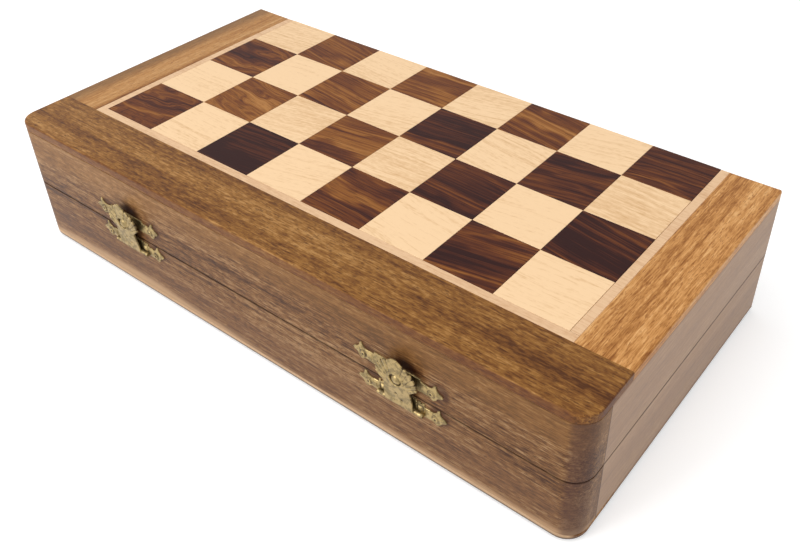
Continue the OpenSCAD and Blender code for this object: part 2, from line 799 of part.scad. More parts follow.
module man_felt(kind) {
    translate([0, 0, -man_felt_t]) cylinder(r = base_d(kind) / 2 - 1.6, h = man_felt_t);
}

// Lays children in each slot of the back row that this kind has
module lay_kind(kind) {
    for (i = [0 : files - 1]) if (row_of[i] == kind) lay_man(kind, i) children();
}

module lay_pawns() {
    for (i = [0 : files - 1]) lay_man("pawn", i, false) children();
}

module chessman_felts() {
    color(felt_green) {
        for (kind = ["king", "queen", "bishop", "knight", "rook"]) lay_kind(kind) man_felt(kind);
        lay_pawns() man_felt("pawn");
    }
}

// The lower half
front_wall(lower_nail_drop, level, level);  // lower_front_wall
left_wall();  // lower_left_wall
right_wall();  // lower_right_wall
back_wall();  // lower_back_wall
board_base();  // lower_board_base
front_rail(underside_edge_r);  // lower_front_rail
left_rail(underside_edge_r);  // lower_left_rail
right_rail(underside_edge_r);  // lower_right_rail
maple_strips();  // lower_maple_strips
squares(0, maple);  // lower_light_squares
squares(1, dark_wood);  // lower_dark_squares
felt_lining();  // lower_felt_lining
slot_bars();  // lower_slot_bars

// The lid
in_lid()  // lid_front_wall
    front_wall(catch_nail_rise, -catch_shifts, -catch_turns);
in_lid() left_wall();  // lid_left_wall
in_lid() right_wall();  // lid_right_wall
in_lid() back_wall();  // lid_back_wall
in_lid() board_base();  // lid_board_base
in_lid() front_rail(lid_edge_r);  // lid_front_rail
in_lid() left_rail(lid_edge_r);  // lid_left_rail
in_lid() right_rail(lid_edge_r);  // lid_right_rail
in_lid() maple_strips();  // lid_maple_strips
in_lid() squares(1, maple);  // lid_light_squares
in_lid() squares(0, dark_wood);  // lid_dark_squares
in_lid() felt_lining();  // lid_felt_lining
in_lid() slot_bars();  // lid_slot_bars

// The hinges
hinge_leaves(0);  // lower_hinge_leaves
in_lid() hinge_leaves(1);  // lid_hinge_leaves
hinge_pins();
hinge_screws();  // lower_hinge_screws
in_lid() hinge_screws();  // lid_hinge_screws

// The latches
latch_plate(-latch_spacing / 2);  // left_latch_plate
latch_plate(latch_spacing / 2);  // right_latch_plate
latch_catch(-latch_spacing / 2, catch_shifts[0], catch_turns[0]);  // left_latch_catch
latch_catch(latch_spacing / 2, catch_shifts[1], catch_turns[1]);  // right_latch_catch
latch_flap(-latch_spacing / 2);  // left_latch_flap
latch_flap(latch_spacing / 2);  // right_latch_flap
latch_pin(-latch_spacing / 2);  // left_latch_pin
latch_pin(latch_spacing / 2);  // right_latch_pin
latch_nails(-lower_nail_drop, level, level);  // lower_latch_nails
latch_nails(catch_nail_rise, -catch_shifts, catch_turns);  // lid_latch_nails

// The light chessmen lie in the lower half
lay_kind("king") king(maple);  // light_king
lay_kind("queen") queen(maple);  // light_queen
lay_kind("bishop") bishop(maple);  // light_bishops
lay_kind("knight") knight(maple);  // light_knights
lay_kind("rook") rook(maple);  // light_rooks
lay_pawns() pawn(maple);  // light_pawns
chessman_felts();  // light_chessman_felts

// The dark chessmen lie in the lid
in_lid() lay_kind("king") king(dark_wood);  // dark_king
in_lid() lay_kind("queen") queen(dark_wood);  // dark_queen
in_lid() lay_kind("bishop") bishop(dark_wood);  // dark_bishops
in_lid() lay_kind("knight") knight(dark_wood);  // dark_knights
in_lid() lay_kind("rook") rook(dark_wood);  // dark_rooks
in_lid() lay_pawns() pawn(dark_wood);  // dark_pawns
in_lid() chessman_felts();  // dark_chessman_felts
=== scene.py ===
# %% [markdown]
# # A folding chess set in wood and brass
# The set is a shallow box. Its two hinged halves open flat into a chess board, and the chessmen lie inside
# in slots lined with felt. The construction comes in as a frame: every piece at its real size, in metres,
# on the body that it moves with. This lesson gives each piece its finish, and builds the pieces anew where
# a maker's hand shows in them.

# %% Load the frame
import json
import math

import bmesh
import bpy
import numpy as np
from mathutils import Euler, Matrix, Vector


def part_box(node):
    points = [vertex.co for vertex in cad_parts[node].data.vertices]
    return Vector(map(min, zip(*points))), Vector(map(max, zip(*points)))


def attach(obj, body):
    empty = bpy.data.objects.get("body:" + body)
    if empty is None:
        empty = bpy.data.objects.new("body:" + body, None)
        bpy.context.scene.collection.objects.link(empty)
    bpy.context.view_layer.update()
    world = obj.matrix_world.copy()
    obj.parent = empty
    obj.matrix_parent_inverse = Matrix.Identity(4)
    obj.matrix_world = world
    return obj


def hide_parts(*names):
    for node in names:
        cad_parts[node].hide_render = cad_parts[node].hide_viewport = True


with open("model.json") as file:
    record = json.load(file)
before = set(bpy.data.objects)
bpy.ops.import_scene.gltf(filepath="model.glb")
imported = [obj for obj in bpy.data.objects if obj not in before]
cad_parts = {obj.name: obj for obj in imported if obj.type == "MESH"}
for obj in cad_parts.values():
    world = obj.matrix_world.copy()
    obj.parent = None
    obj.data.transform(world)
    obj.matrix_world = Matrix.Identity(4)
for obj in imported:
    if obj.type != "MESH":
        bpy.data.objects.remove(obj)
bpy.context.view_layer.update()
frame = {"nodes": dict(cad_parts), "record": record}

# %% [markdown]
# ## The camera
# A photographer stood at the box's front right corner and looked down on it. The corners of the squares in
# the photograph give the place of the lens. Blender wants the focal length for a sensor 36 mm wide, so the
# length in pixels is turned into millimetres, and the small shift puts the optical centre where the
# photograph has it.

# %% Place the camera
MM = 0.001
photo_size = Vector((800, 550))
focal_px = 914.3
optical_centre_px = Vector((436.5, 228.1))
sensor_mm = 36
eye = Vector((229.1, -250.7, 277.8)) * MM
azimuth, elevation, roll = (math.radians(a) for a in (37.92, 36.93, -0.6))

camera_data = bpy.data.cameras.new("camera")
camera_data.sensor_width = sensor_mm
camera_data.lens = focal_px / photo_size.x * sensor_mm
camera_data.shift_x = (photo_size.x / 2 - optical_centre_px.x) / photo_size.x
camera_data.shift_y = (optical_centre_px.y - photo_size.y / 2) / photo_size.x
camera_data.clip_start = 10 * MM
camera = bpy.data.objects.new("camera", camera_data)
turn = (Matrix.Rotation(azimuth, 3, "Z") @ Matrix.Rotation(math.pi / 2 - elevation, 3, "X")
        @ Matrix.Rotation(roll, 3, "Z"))
camera.matrix_world = Matrix.LocRotScale(eye, turn, None)
scene = bpy.context.scene
scene.collection.objects.link(camera)
scene.camera = camera
scene.view_settings.view_transform = "Standard"
print("lens", round(camera_data.lens, 2), "mm, shift", round(camera_data.shift_x, 4), "and",
      round(camera_data.shift_y, 4))

# %% [markdown]
# ## Formulas that become nodes
# A finish is a tree of nodes, and a long tree is hard to read. So a tree is written here as formulas.
# `Value` stands for one output of a node, and a sum or product of values adds the Math node that works it
# out. `Graph.node` adds any other node from its type, its settings and what its sockets hold. The same
# class builds Geometry Nodes further down.

# %% Values and graphs
class Value:
    """One output of a node. Arithmetic on it adds Math nodes to the same graph."""

    def __init__(self, graph, socket):
        self.graph, self.socket = graph, socket

    def __abs__(self):
        return self.graph.maths("ABSOLUTE", self)


def sign_method(operation, swapped=False):
    """A method that joins a value with another value or a number. In 1 - mask the value comes second."""
    def join(self, other):
        terms = (other, self) if swapped else (self, other)
        return self.graph.maths(operation, *terms)
    return join


signs = {"add": "ADD", "sub": "SUBTRACT", "mul": "MULTIPLY", "truediv": "DIVIDE", "pow": "POWER"}
for sign, operation in signs.items():
    setattr(Value, f"__{sign}__", sign_method(operation))
    setattr(Value, f"__r{sign}__", sign_method(operation, swapped=True))


class Graph:
    """A node tree that is filled through one method, with short names for the calls that come up most."""

    def __init__(self, tree):
        self.tree = tree
        tree.nodes.clear()

    def node(self, kind, settings=None, sockets=None, output=0):
        made = self.tree.nodes.new(kind)
        for name, setting in (settings or {}).items():
            if name == "stops":
                set_stops(made.color_ramp, setting)
            else:
                setattr(made, name, setting)
        for key, value in (sockets or {}).items():
            if isinstance(value, Value):
                self.tree.links.new(value.socket, made.inputs[key])
            else:
                made.inputs[key].default_value = value
        return Value(self, made.outputs[output]) if len(made.outputs) else None

    def maths(self, operation, *terms):
        return self.node("ShaderNodeMath", {"operation": operation}, dict(enumerate(terms)))

    def vector(self, operation, *terms):
        return self.node("ShaderNodeVectorMath", {"operation": operation}, dict(enumerate(terms)))

    def length(self, vector):
        return self.node("ShaderNodeVectorMath", {"operation": "LENGTH"}, {0: vector}, output="Value")

    def part(self, vector, axis):
        """The X, Y or Z of a vector."""
        return self.node("ShaderNodeSeparateXYZ", None, {0: vector}, output=axis)

    def combine(self, x, y, z):
        return self.node("ShaderNodeCombineXYZ", None, {0: x, 1: y, 2: z})


def set_stops(ramp, stops):
    """Gives a ramp its stops, each a place from 0 to 1 and a colour."""
    while len(ramp.elements) < len(stops):
        ramp.elements.new(1)
    for element, (place, colour) in zip(ramp.elements, stops):
        element.position, element.color = place, colour


print("Math nodes come from", ", ".join(signs))

# %% [markdown]
# ## A finish
# Every finish here reads Object coordinates, which are the same metres that the piece is built in. A grain
# is then as fine on a chessman as on a rail. `Finish` opens a material with that position, and adds the few
# patterns that the woods, the felt and the brass share. Colours are written as they look on screen and
# turned into linear light once.

# %% The finish class
def paint(red, green, blue):
    """A colour as it looks on screen, from 0 to 255, as the linear colour that nodes take: the sRGB rule."""
    linear = []
    for part in (red / 255, green / 255, blue / 255):
        linear.append(part / 12.92 if part <= 0.04045 else ((part + 0.055) / 1.055) ** 2.4)
    return (*linear, 1)


def grey(level):
    """A grey as linear light, where 1 is white."""
    return level, level, level, 1


class Finish(Graph):
    """A material whose patterns are laid out in the object's own metres."""

    def __init__(self, name):
        self.material = bpy.data.materials.new(name)
        self.material.use_nodes = True
        super().__init__(self.material.node_tree)
        self.place = self.node("ShaderNodeTexCoord", output="Object")

    def along(self, axis):
        """How far along X, Y or Z, in millimetres."""
        return self.part(self.place, axis) / MM

    def attribute(self, name, output="Fac"):
        """What the mesh carries on its points under some name."""
        return self.node("ShaderNodeAttribute", {"attribute_name": name}, output=output)

    def noise(self, size, place=None, detail=2, roughness=0.5, warp=0):
        """Noise from 0 to 1 whose blobs are size millimetres big along x, y and z."""
        fit = [1 / (s * MM) for s in size]
        vector = self.node("ShaderNodeMapping", None, {"Vector": place or self.place, "Scale": fit})
        return self.node("ShaderNodeTexNoise", None, {
            "Vector": vector, "Scale": 1, "Detail": detail, "Roughness": roughness, "Distortion": warp})

    def bands(self, phase, detail=3, roughness=0.6):
        """Noise along one number: uneven bands, as growth rings are."""
        return self.node("ShaderNodeTexNoise", {"noise_dimensions": "1D"}, {
            "W": phase, "Scale": 1, "Detail": detail, "Roughness": roughness})

    def step(self, value, low, high, to_low=0, to_high=1):
        """Runs from to_low to to_high, smoothly, while the value goes from low to high."""
        return self.node("ShaderNodeMapRange", {"interpolation_type": "SMOOTHSTEP"}, {
            "Value": value, "From Min": low, "From Max": high, "To Min": to_low, "To Max": to_high})

    def ramp(self, value, tones):
        """A colour for each value, between tones at places from 0 to 1."""
        stops = [(place, paint(*colour)) for place, colour in tones]
        return self.node("ShaderNodeValToRGB", {"stops": stops}, {0: value})

    def mix(self, factor, first, second):
        """Mixes two colours."""
        return self.node("ShaderNodeMix", {"data_type": "RGBA"}, {0: factor, 6: first, 7: second}, output=2)

    def bump(self, height, distance, strength=1):
        return self.node("ShaderNodeBump", None, {
            "Height": height, "Distance": distance * MM, "Strength": strength})

    def surface(self, **sockets):
        """Ends the material in one Principled shader; an underscore in a name stands for a space."""
        named = {name.replace("_", " "): value for name, value in sockets.items()}
        shader = self.node("ShaderNodeBsdfPrincipled", None, named)
        self.node("ShaderNodeOutputMaterial", None, {"Surface": shader})
        return self.material


print("white is", paint(255, 255, 255))

# %% [markdown]
# ## The floor and the light
# The set lies on a white table in a bright studio. The floor is a plain pale sheet that also glows a little
# for the camera, more so far from the box, so it comes out white everywhere while it still takes the box's
# shadow. The world is white to the camera and in reflections, and dimmer as a source of light. Three large
# soft lamps give the box its shape: one low at the front left, one above, and a weaker one at the right.

# %% Floor, world and lamps
table_side = 6.0
table_colour = paint(236, 236, 236)
world_light = 0.45
# The glow of the floor near the box and far away, and the metres between which it grows
near_glow, far_glow = 0.36, 0.68
glow_grows = (0.35, 1.1)


def add_object(name, data):
    made = bpy.data.objects.new(name, data)
    scene.collection.objects.link(made)
    return made


def ray(graph, kind):
    """1 for rays of one kind and 0 for the others."""
    return graph.node("ShaderNodeLightPath", output=f"Is {kind} Ray")


def floor_finish():
    finish = Finish("white_table")
    far = finish.step(finish.length(finish.place), *glow_grows)
    glow = finish.mix(far, grey(near_glow), grey(far_glow))
    glow = finish.mix(ray(finish, "Camera") + ray(finish, "Glossy"), grey(0), glow)
    return finish.surface(Base_Color=table_colour, Roughness=0.9, Emission_Color=glow, Emission_Strength=1)


def make_floor():
    half = table_side / 2
    corners = [(-half, -half, 0), (half, -half, 0), (half, half, 0), (-half, half, 0)]
    mesh = bpy.data.meshes.new("floor")
    mesh.from_pydata(corners, [], [(0, 1, 2, 3)])
    mesh.materials.append(floor_finish())
    add_object("floor", mesh)


def make_world():
    world = bpy.data.worlds.new("studio")
    world.use_nodes = True
    graph = Graph(world.node_tree)
    direct = ray(graph, "Camera") + ray(graph, "Glossy") + ray(graph, "Transmission")
    strength = graph.maths("MAXIMUM", direct, world_light)
    sky = graph.node("ShaderNodeBackground", None, {"Color": grey(1), "Strength": strength})
    graph.node("ShaderNodeOutputWorld", None, {"Surface": sky})
    scene.world = world


def softbox(name, azimuth, elevation, distance, side, power):
    """A square lamp that faces the box from a direction, in degrees as the camera's."""
    data = bpy.data.lights.new(name, "AREA")
    data.size, data.energy = side, power
    lamp = add_object(name, data)
    pointing = Euler((math.radians(90 - elevation), 0, math.radians(azimuth)))
    lamp.rotation_euler = pointing
    lamp.location = pointing.to_matrix() @ Vector((0, 0, distance))


make_floor()
make_world()
softbox("key_lamp", azimuth=-25, elevation=22, distance=1.4, side=0.7, power=12)
softbox("top_lamp", azimuth=-30, elevation=75, distance=1.4, side=1.2, power=8)
softbox("side_lamp", azimuth=75, elevation=35, distance=1.4, side=0.9, power=5)
print("three lamps over a", table_side, "m floor")

# %% [markdown]
# ## Wood
# A board is cut from a log, so its figure is a slice through rings round a pith, and a finish can be worked
# out the same way: the distance from a line along the grain counts the rings, and slow noise bends them.
# Over that lie streaks, fine fibres, a mottle where the grain waves, and short dark pores, all noise drawn
# out along the grain. The same formula gives streaks on a face and arcs on an end. Each board gets its own
# place in the log. Lacquer shines less than bare plastic, so the specular level is low.

# %% Wood for rails, walls and chessmen
# How long and how wide the blobs of each pattern are, in millimetres along and across the grain
ring_waves, long_streaks, fine_fibres = (150, 40), (150, 2.1), (9, 0.6)
grain_waves, broad_shades, pore_slits = (3, 1.1), (180, 13), (2.6, 0.45)


def no_marks(finish, colour):
    """A board with nothing but its grain."""
    return colour


def wood(name, axis, tones, shift=(0, 0, 0), pith=(0, -40, 90), ring=5.0, figure=0.35, broad=0.6, streak=0.5,
         fibres=0.9, mottle=0.4, pores=0.5, scale=1.0, roughness=0.42, shine=0.12, marks=no_marks):
    """Wood with its grain along an axis. Shift, pith and ring are in millimetres, the rest are strengths."""
    finish = Finish(name)
    here = finish.vector("ADD", finish.place, Vector(shift) * MM)

    def grain(size, **settings):
        along, across = (side * scale for side in size)
        return finish.noise([along if side == axis else across for side in "XYZ"], here, **settings)

    level = tuple(0 if side == axis else 1 for side in "XYZ")
    from_pith = finish.vector("SUBTRACT", finish.place, Vector(pith) * MM)
    radius = finish.length(finish.vector("MULTIPLY", from_pith, level))
    wander = grain(ring_waves, detail=1) - 0.5
    first_ring = sum(shift) * 0.37
    rings = finish.bands(radius / (ring * scale * MM) + wander * 4 + first_ring, detail=4)
    fibre = grain(fine_fibres, detail=3, roughness=0.65)
    streaks, waves = grain(long_streaks, detail=4) - 0.5, grain(grain_waves, detail=2) - 0.5
    shades = grain(broad_shades, detail=1) - 0.5
    tone = ((rings - 0.5) * figure + streaks * streak + (fibre - 0.5) * fibres + waves * mottle
            + shades * broad + 0.5)
    pore = finish.step(grain(pore_slits, detail=1), 0.58, 0.7)
    darkest = paint(*tones[0][1])
    colour = finish.mix(pore * pores, finish.ramp(tone, tones), darkest)
    return finish.surface(Base_Color=marks(finish, colour), Roughness=fibre * 0.16 + (roughness - 0.08),
                          Specular_IOR_Level=shine, Normal=finish.bump((fibre - 0.5) * 0.3 - pore, 0.05, 0.5))


walnut = [(0.1, (61, 36, 20)), (0.36, (96, 63, 36)), (0.62, (118, 82, 48)), (0.95, (150, 117, 82))]
golden_brown = [(0.1, (77, 44, 21)), (0.36, (111, 70, 33)), (0.62, (140, 96, 47)), (0.95, (177, 132, 79))]
honey = [(0.1, (128, 76, 36)), (0.36, (167, 113, 60)), (0.62, (197, 142, 84)), (0.95, (223, 175, 118))]
print("three wood palettes")

# %% [markdown]
# ## The board
# The squares are solid pieces of maple and rosewood, cut to one size and glued side by side. Their places
# follow a rule, so Geometry Nodes lays them: a row of points, one for each square, keeps those of one
# colour, puts a block on each and trims the row at the hinge edge. The size is stored on each point before
# the others are deleted, because the points are counted anew then. A random number and a random shift go
# with each block, and the finish reads them, because no two real squares come from the same spot in the
# log.

# %% Sizes of the board, from the frame
files, ranks = 8, 4
glue_line = 0.1 * MM
chamfer = 0.1 * MM


def board_sizes(half):
    """The lowest and the highest corner of one half's squares, and the side of a square."""
    light_low, light_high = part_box(f"{half}_light_squares")
    dark_low, dark_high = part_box(f"{half}_dark_squares")
    low = Vector(map(min, light_low, dark_low))
    high = Vector(map(max, light_high, dark_high))
    side = (high.x + glue_line - low.x) / files
    return low, high, side


square_side = board_sizes("lid")[2]
print("squares of", round(square_side / MM, 2), "mm")

# %% A tree that lays the squares of one colour
def new_geometry_tree(name, inputs):
    """An empty tree with named inputs. Gives its graph, its inputs by name and their identifiers."""
    tree = bpy.data.node_groups.new(name, "GeometryNodeTree")
    for label, kind in inputs.items():
        tree.interface.new_socket(label, in_out="INPUT", socket_type=f"NodeSocket{kind}")
    tree.interface.new_socket("Geometry", in_out="OUTPUT", socket_type="NodeSocketGeometry")
    graph = Graph(tree)
    given = graph.node("NodeGroupInput")
    sockets = {s.name: Value(graph, s) for s in given.socket.node.outputs if s.name}
    identifiers = {i.name: i.identifier for i in tree.interface.items_tree if i.in_out == "INPUT"}
    return graph, sockets, identifiers


def end_tree(graph, geometry, material):
    """Every tree ends the same way: real geometry with its material on it."""
    real = graph.node("GeometryNodeRealizeInstances", None, {0: geometry})
    dressed = graph.node("GeometryNodeSetMaterial", None, {"Geometry": real, "Material": material})
    graph.node("NodeGroupOutput", None, {0: dressed})


def store(graph, geometry, name, kind, value):
    """Keeps a value on every point, under a name that a later node or a finish can read."""
    return graph.node("GeometryNodeStoreNamedAttribute", {"data_type": kind, "domain": "POINT"},
                      {"Geometry": geometry, "Name": name, "Value": value})


def squares_tree():
    graph, given, identifiers = new_geometry_tree("squares", {
        "Files": "Int", "Ranks": "Int", "Parity": "Int", "Side": "Float", "Glue Line": "Float",
        "Left": "Float", "Front": "Float", "Back": "Float", "Bottom": "Float", "Top": "Float",
        "Seed": "Int", "Wood": "Material"})
    points = graph.node("GeometryNodePoints", None, {"Count": given["Files"] * given["Ranks"]})
    index = graph.node("GeometryNodeInputIndex")
    rank = graph.maths("FLOOR", index / given["Files"])
    file = index - rank * given["Files"]
    odd = graph.maths("PINGPONG", rank + file + given["Parity"], 1)
    front = given["Front"] + rank * given["Side"]
    width = given["Side"] - given["Glue Line"]
    depth = graph.maths("MINIMUM", width, given["Back"] - front)
    height = given["Top"] - given["Bottom"]
    middle = graph.combine(given["Left"] + file * given["Side"] + width / 2, front + depth / 2,
                           (given["Bottom"] + given["Top"]) / 2)
    placed = graph.node("GeometryNodeSetPosition", None, {"Geometry": points, "Position": middle})
    sized = store(graph, placed, "size", "FLOAT_VECTOR", graph.combine(width, depth, height))
    kept = graph.node("GeometryNodeDeleteGeometry", {"domain": "POINT"},
                      {"Geometry": sized, "Selection": odd})
    # A random number has its limits in other sockets than a random vector has, and another output
    for label, kind, limits, output in (("tone", "FLOAT", {2: 0, 3: 1}, 1),
                                        ("shift", "FLOAT_VECTOR", {0: (0, 0, 0), 1: (1, 1, 1)}, 0)):
        draw = {"Seed": given["Seed"], **limits}
        chance = graph.node("FunctionNodeRandomValue", {"data_type": kind}, draw, output)
        kept = store(graph, kept, label, kind, chance)
    cube = graph.node("GeometryNodeMeshCube", None, {"Size": (1, 1, 1)})
    size = graph.node("GeometryNodeInputNamedAttribute", {"data_type": "FLOAT_VECTOR"}, {"Name": "size"})
    blocks = graph.node("GeometryNodeInstanceOnPoints", None,
                        {"Points": kept, "Instance": cube, "Scale": size})
    end_tree(graph, blocks, given["Wood"])
    return graph.tree, identifiers


squares, squares_inputs = squares_tree()
print(len(squares.nodes), "nodes lay the squares")

# %% Helpers that grow a mesh and put it in a node's place
def add_modifier(made, kind, **settings):
    modifier = made.modifiers.new(kind.lower(), kind)
    for name, setting in settings.items():
        setattr(modifier, name, setting)
    return modifier


def apply_all(made):
    """Turns an object with modifiers into a plain mesh."""
    seen = made.evaluated_get(bpy.context.evaluated_depsgraph_get())
    mesh = bpy.data.meshes.new_from_object(seen)
    made.modifiers.clear()
    made.data = mesh
    return made


def grow(name, tree, identifiers, values):
    """An object whose mesh a Geometry Nodes tree will make."""
    made = add_object(name, bpy.data.meshes.new(name))
    modifier = add_modifier(made, "NODES", node_group=tree)
    for label, value in values.items():
        modifier[identifiers[label]] = value
    return made


body_of = {node: body for body, nodes in frame["record"]["behaviour"]["bodies"].items() for node in nodes}


def stand_in(made, *nodes):
    """The piece takes the place of these nodes, on their body."""
    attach(made, body_of[nodes[0]])
    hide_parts(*nodes)
    return made


def dress(node, material):
    """A piece of the frame stays as it is and gets its material."""
    made = frame["nodes"][node]
    made.data.materials.clear()
    made.data.materials.append(material)


# %% Rosewood and maple for the squares
def from_the_log(finish, slope):
    """A square's tone, and a place in its log whose grain runs a little askew, both by its own chance."""
    tone, shift = finish.attribute("tone"), finish.attribute("shift", "Vector")
    chance_x, chance_y, chance_z = (finish.part(shift, axis) for axis in "XYZ")
    x, y, z = (finish.part(finish.place, axis) for axis in "XYZ")
    across = y + x * (chance_x - 0.5) * slope + chance_y
    return tone, chance_z, across, finish.combine(x + chance_x, across, z + chance_z)


def dark_squares_finish():
    """Rosewood. A high power of the chance is near 0 on most squares, so only a few swirl strongly."""
    finish = Finish("rosewood_squares")
    tone, chance, across, here = from_the_log(finish, slope=0.45)
    swirl = finish.noise((34, 14, 30), here, detail=2) - 0.5
    streak = finish.bands(across / (2.2 * MM) + swirl * (chance ** 6 * 22 + 2), detail=3, roughness=0.6)
    broad = finish.bands(across / (11 * MM) + swirl * 3, detail=1)
    fibre = finish.noise((26, 0.6, 0.6), here, detail=3, roughness=0.65)
    patch = finish.noise((40, 12, 12), here, detail=1) - 0.5
    shade = (tone * 0.58 + (streak - 0.5) * 0.8 + (broad - 0.5) * 0.8 + (fibre - 0.5) * 0.8
             + patch * 0.4 + 0.13)
    colour = finish.ramp(shade, [(0.08, (47, 23, 21)), (0.3, (76, 39, 27)), (0.5, (104, 58, 31)),
                                 (0.72, (138, 87, 42)), (1.0, (170, 118, 66))])
    pore = finish.step(finish.noise((6, 0.6, 0.6), here, detail=1), 0.6, 0.72)
    colour = finish.mix(pore * 0.45, colour, paint(38, 20, 18))
    return finish.surface(Base_Color=colour, Roughness=fibre * 0.15 + 0.36, Specular_IOR_Level=0.08,
                          Normal=finish.bump(fibre * 0.3 - pore, 0.04, 0.4))


def maple_finish(name, light, dark, loose=True):
    """Maple for squares, which are cut loose from the log, or for the strips, which aren't."""
    finish = Finish(name)
    if loose:
        tone, _, across, here = from_the_log(finish, slope=0.5)
    else:
        tone, here = 0.5, finish.place
        across = finish.part(here, "Y")
    drift = finish.noise((60, 16, 20), here, detail=2) - 0.5
    line = finish.bands(across / (2.4 * MM) + drift * 5, detail=4, roughness=0.7)
    fibre = finish.noise((9, 0.7, 0.7), here, detail=3, roughness=0.7)
    fleck = finish.noise((2.6, 1.2, 1.2), here, detail=2)
    shade = ((line - 0.5) * 0.8 + (fibre - 0.5) * 0.8 + (fleck - 0.5) * 0.5 + drift * 0.5
             + tone * 0.25 + 0.4)
    vein = finish.step(finish.bands(across / (7 * MM) + drift * 2, detail=5, roughness=0.8), 0.66, 0.74)
    colour = finish.ramp(shade, [(0.1, dark), (0.6, light), (1.0, light)])
    colour = finish.mix(vein * 0.35, colour, paint(*dark))
    return finish.surface(Base_Color=colour, Roughness=fibre * 0.1 + 0.4, Specular_IOR_Level=0.2,
                          Normal=finish.bump(fibre, 0.02, 0.3))


rosewood = dark_squares_finish()
maple = maple_finish("maple_squares", (238, 203, 160), (206, 164, 116))
print(rosewood.name, "and", maple.name)

# %% Lay the four sets of squares
def lay_squares(half, colour, parity, seed, material):
    low, high, side = board_sizes(half)
    name = f"{half}_{colour}_squares"
    made = grow(name + "_laid", squares, squares_inputs, {
        "Files": files, "Ranks": ranks, "Parity": parity, "Side": side, "Glue Line": glue_line, "Left": low.x,
        "Front": low.y, "Back": high.y, "Bottom": low.z, "Top": high.z, "Seed": seed, "Wood": material})
    add_modifier(made, "BEVEL", width=chamfer, segments=2)
    apply_all(made)
    return stand_in(made, name)


light_seed, dark_seed = 3, 2316873
for half, light_parity in (("lid", 1), ("lower", 0)):
    lay_squares(half, "light", light_parity, light_seed, maple)
    laid = lay_squares(half, "dark", 1 - light_parity, dark_seed, rosewood)
    print(laid.name, len(laid.data.polygons), "faces", [a.name for a in laid.data.attributes])

# %% [markdown]
# ## Easing the edges
# A joiner breaks every edge with fine paper, and the light catches there, so an edge without any round
# looks drawn. Each board is a copy of its frame mesh. The loose triangles are joined into whole faces
# first, and a Bevel modifier then rounds every sharp edge. A weight on each edge says how much: the rims
# that meet when the case is shut are rounded well, which makes the dark line between the halves, and the
# glued joints only a little. Where rounded edges meet at a slant, a bevel can throw a point outwards, so
# every point is kept inside its board's box.

# %% Copies with eased edges
same_point = 0.001 * MM
flat_angle, sharp_angle = math.radians(0.5), math.radians(40)
rim_round = 0.38 * MM
joint_round = 0.07 * MM
shortest_edge = 0.3 * MM
outer_reach = 70 * MM


def joined_copy(node):
    """A node's shape with its triangles joined into whole faces."""
    shape = bmesh.new()
    shape.from_mesh(frame["nodes"][node].data)
    bmesh.ops.remove_doubles(shape, verts=shape.verts, dist=same_point)
    bmesh.ops.dissolve_limit(shape, angle_limit=flat_angle, verts=shape.verts, edges=shape.edges)
    return shape


def is_outer_rim(edge):
    """True on an edge between a flat rim and an outer wall of the case."""
    middle = (edge.verts[0].co + edge.verts[1].co) / 2
    normals = [face.normal for face in edge.link_faces]
    upright = [n for n in normals if abs(n.z) < 0.1]
    level = [n for n in normals if abs(n.z) > 0.9]
    return bool(upright and level) and upright[0].xy.dot(middle.xy) > outer_reach


def eased(nodes, material, rim=rim_round, joint=joint_round, cut=sharp_angle):
    """Replaces each node by a copy whose outer rims are rounded by rim, and its other edges by joint."""
    for node in nodes:
        shape = joined_copy(node)
        weight = shape.edges.layers.float.new("bevel_weight_edge")
        for edge in shape.edges:
            angle = edge.calc_face_angle(0) if edge.is_manifold else 0
            edge.smooth = angle < cut
            if angle > cut and edge.calc_length() > shortest_edge:
                edge[weight] = 1 if is_outer_rim(edge) else joint / rim
        for face in shape.faces:
            face.smooth = True
        mesh = bpy.data.meshes.new(node + "_eased")
        shape.to_mesh(mesh)
        shape.free()
        mesh.materials.append(material)
        made = add_object(node + "_eased", mesh)
        add_modifier(made, "BEVEL", width=rim, segments=3, limit_method="WEIGHT", harden_normals=True,
                     use_clamp_overlap=False)
        low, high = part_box(node)
        for vertex in apply_all(made).data.vertices:
            vertex.co = [min(max(at, least), most) for at, least, most in zip(vertex.co, low, high)]
        stand_in(made, node)


print("rims are rounded by", rim_round / MM, "mm")

# %% [markdown]
# ## Shapes as distances
# A stamped latch and a carved horse's head have something in common: a flat outline with a low relief on
# it. Both are made from one idea. A function gives the distance from any point to the outline, negative
# inside, and such distances are easy to join, cut and round. A fine grid keeps its cells inside the
# outline, slides the outer points onto it, and lifts every point by a height that can use the same
# distance, as for a rounded edge or a groove along it.

# %% Distances in a plane, in millimetres
def disc(u, v, at, radius):
    return np.hypot(u - at[0], v - at[1]) - radius


def slab(u, v, low, high):
    """Distance to a rectangle."""
    du = np.maximum(low[0] - u, u - high[0])
    dv = np.maximum(low[1] - v, v - high[1])
    return np.hypot(np.maximum(du, 0), np.maximum(dv, 0)) + np.minimum(np.maximum(du, dv), 0)


def chain(u, v, points):
    """Distance to a broken line, and how far along it the nearest point lies."""
    nearest, position, run = np.full(u.shape, np.inf), np.zeros(u.shape), 0.0
    for (au, av), (bu, bv) in zip(points, points[1:]):
        eu, ev = bu - au, bv - av
        length = math.hypot(eu, ev)
        along = np.clip(((u - au) * eu + (v - av) * ev) / length**2, 0, 1)
        away = np.hypot(u - au - along * eu, v - av - along * ev)
        position = np.where(away < nearest, run + along * length, position)
        nearest = np.minimum(nearest, away)
        run += length
    return nearest, position


def outline(u, v, points):
    """Distance to a closed outline, negative inside it."""
    inside = np.zeros(u.shape, bool)
    for (au, av), (bu, bv) in zip(points, points[1:] + points[:1]):
        if av != bv:
            inside ^= ((av > v) != (bv > v)) & (u < au + (v - av) * (bu - au) / (bv - av))
    away, _ = chain(u, v, points + points[:1])
    return np.where(inside, -away, away)


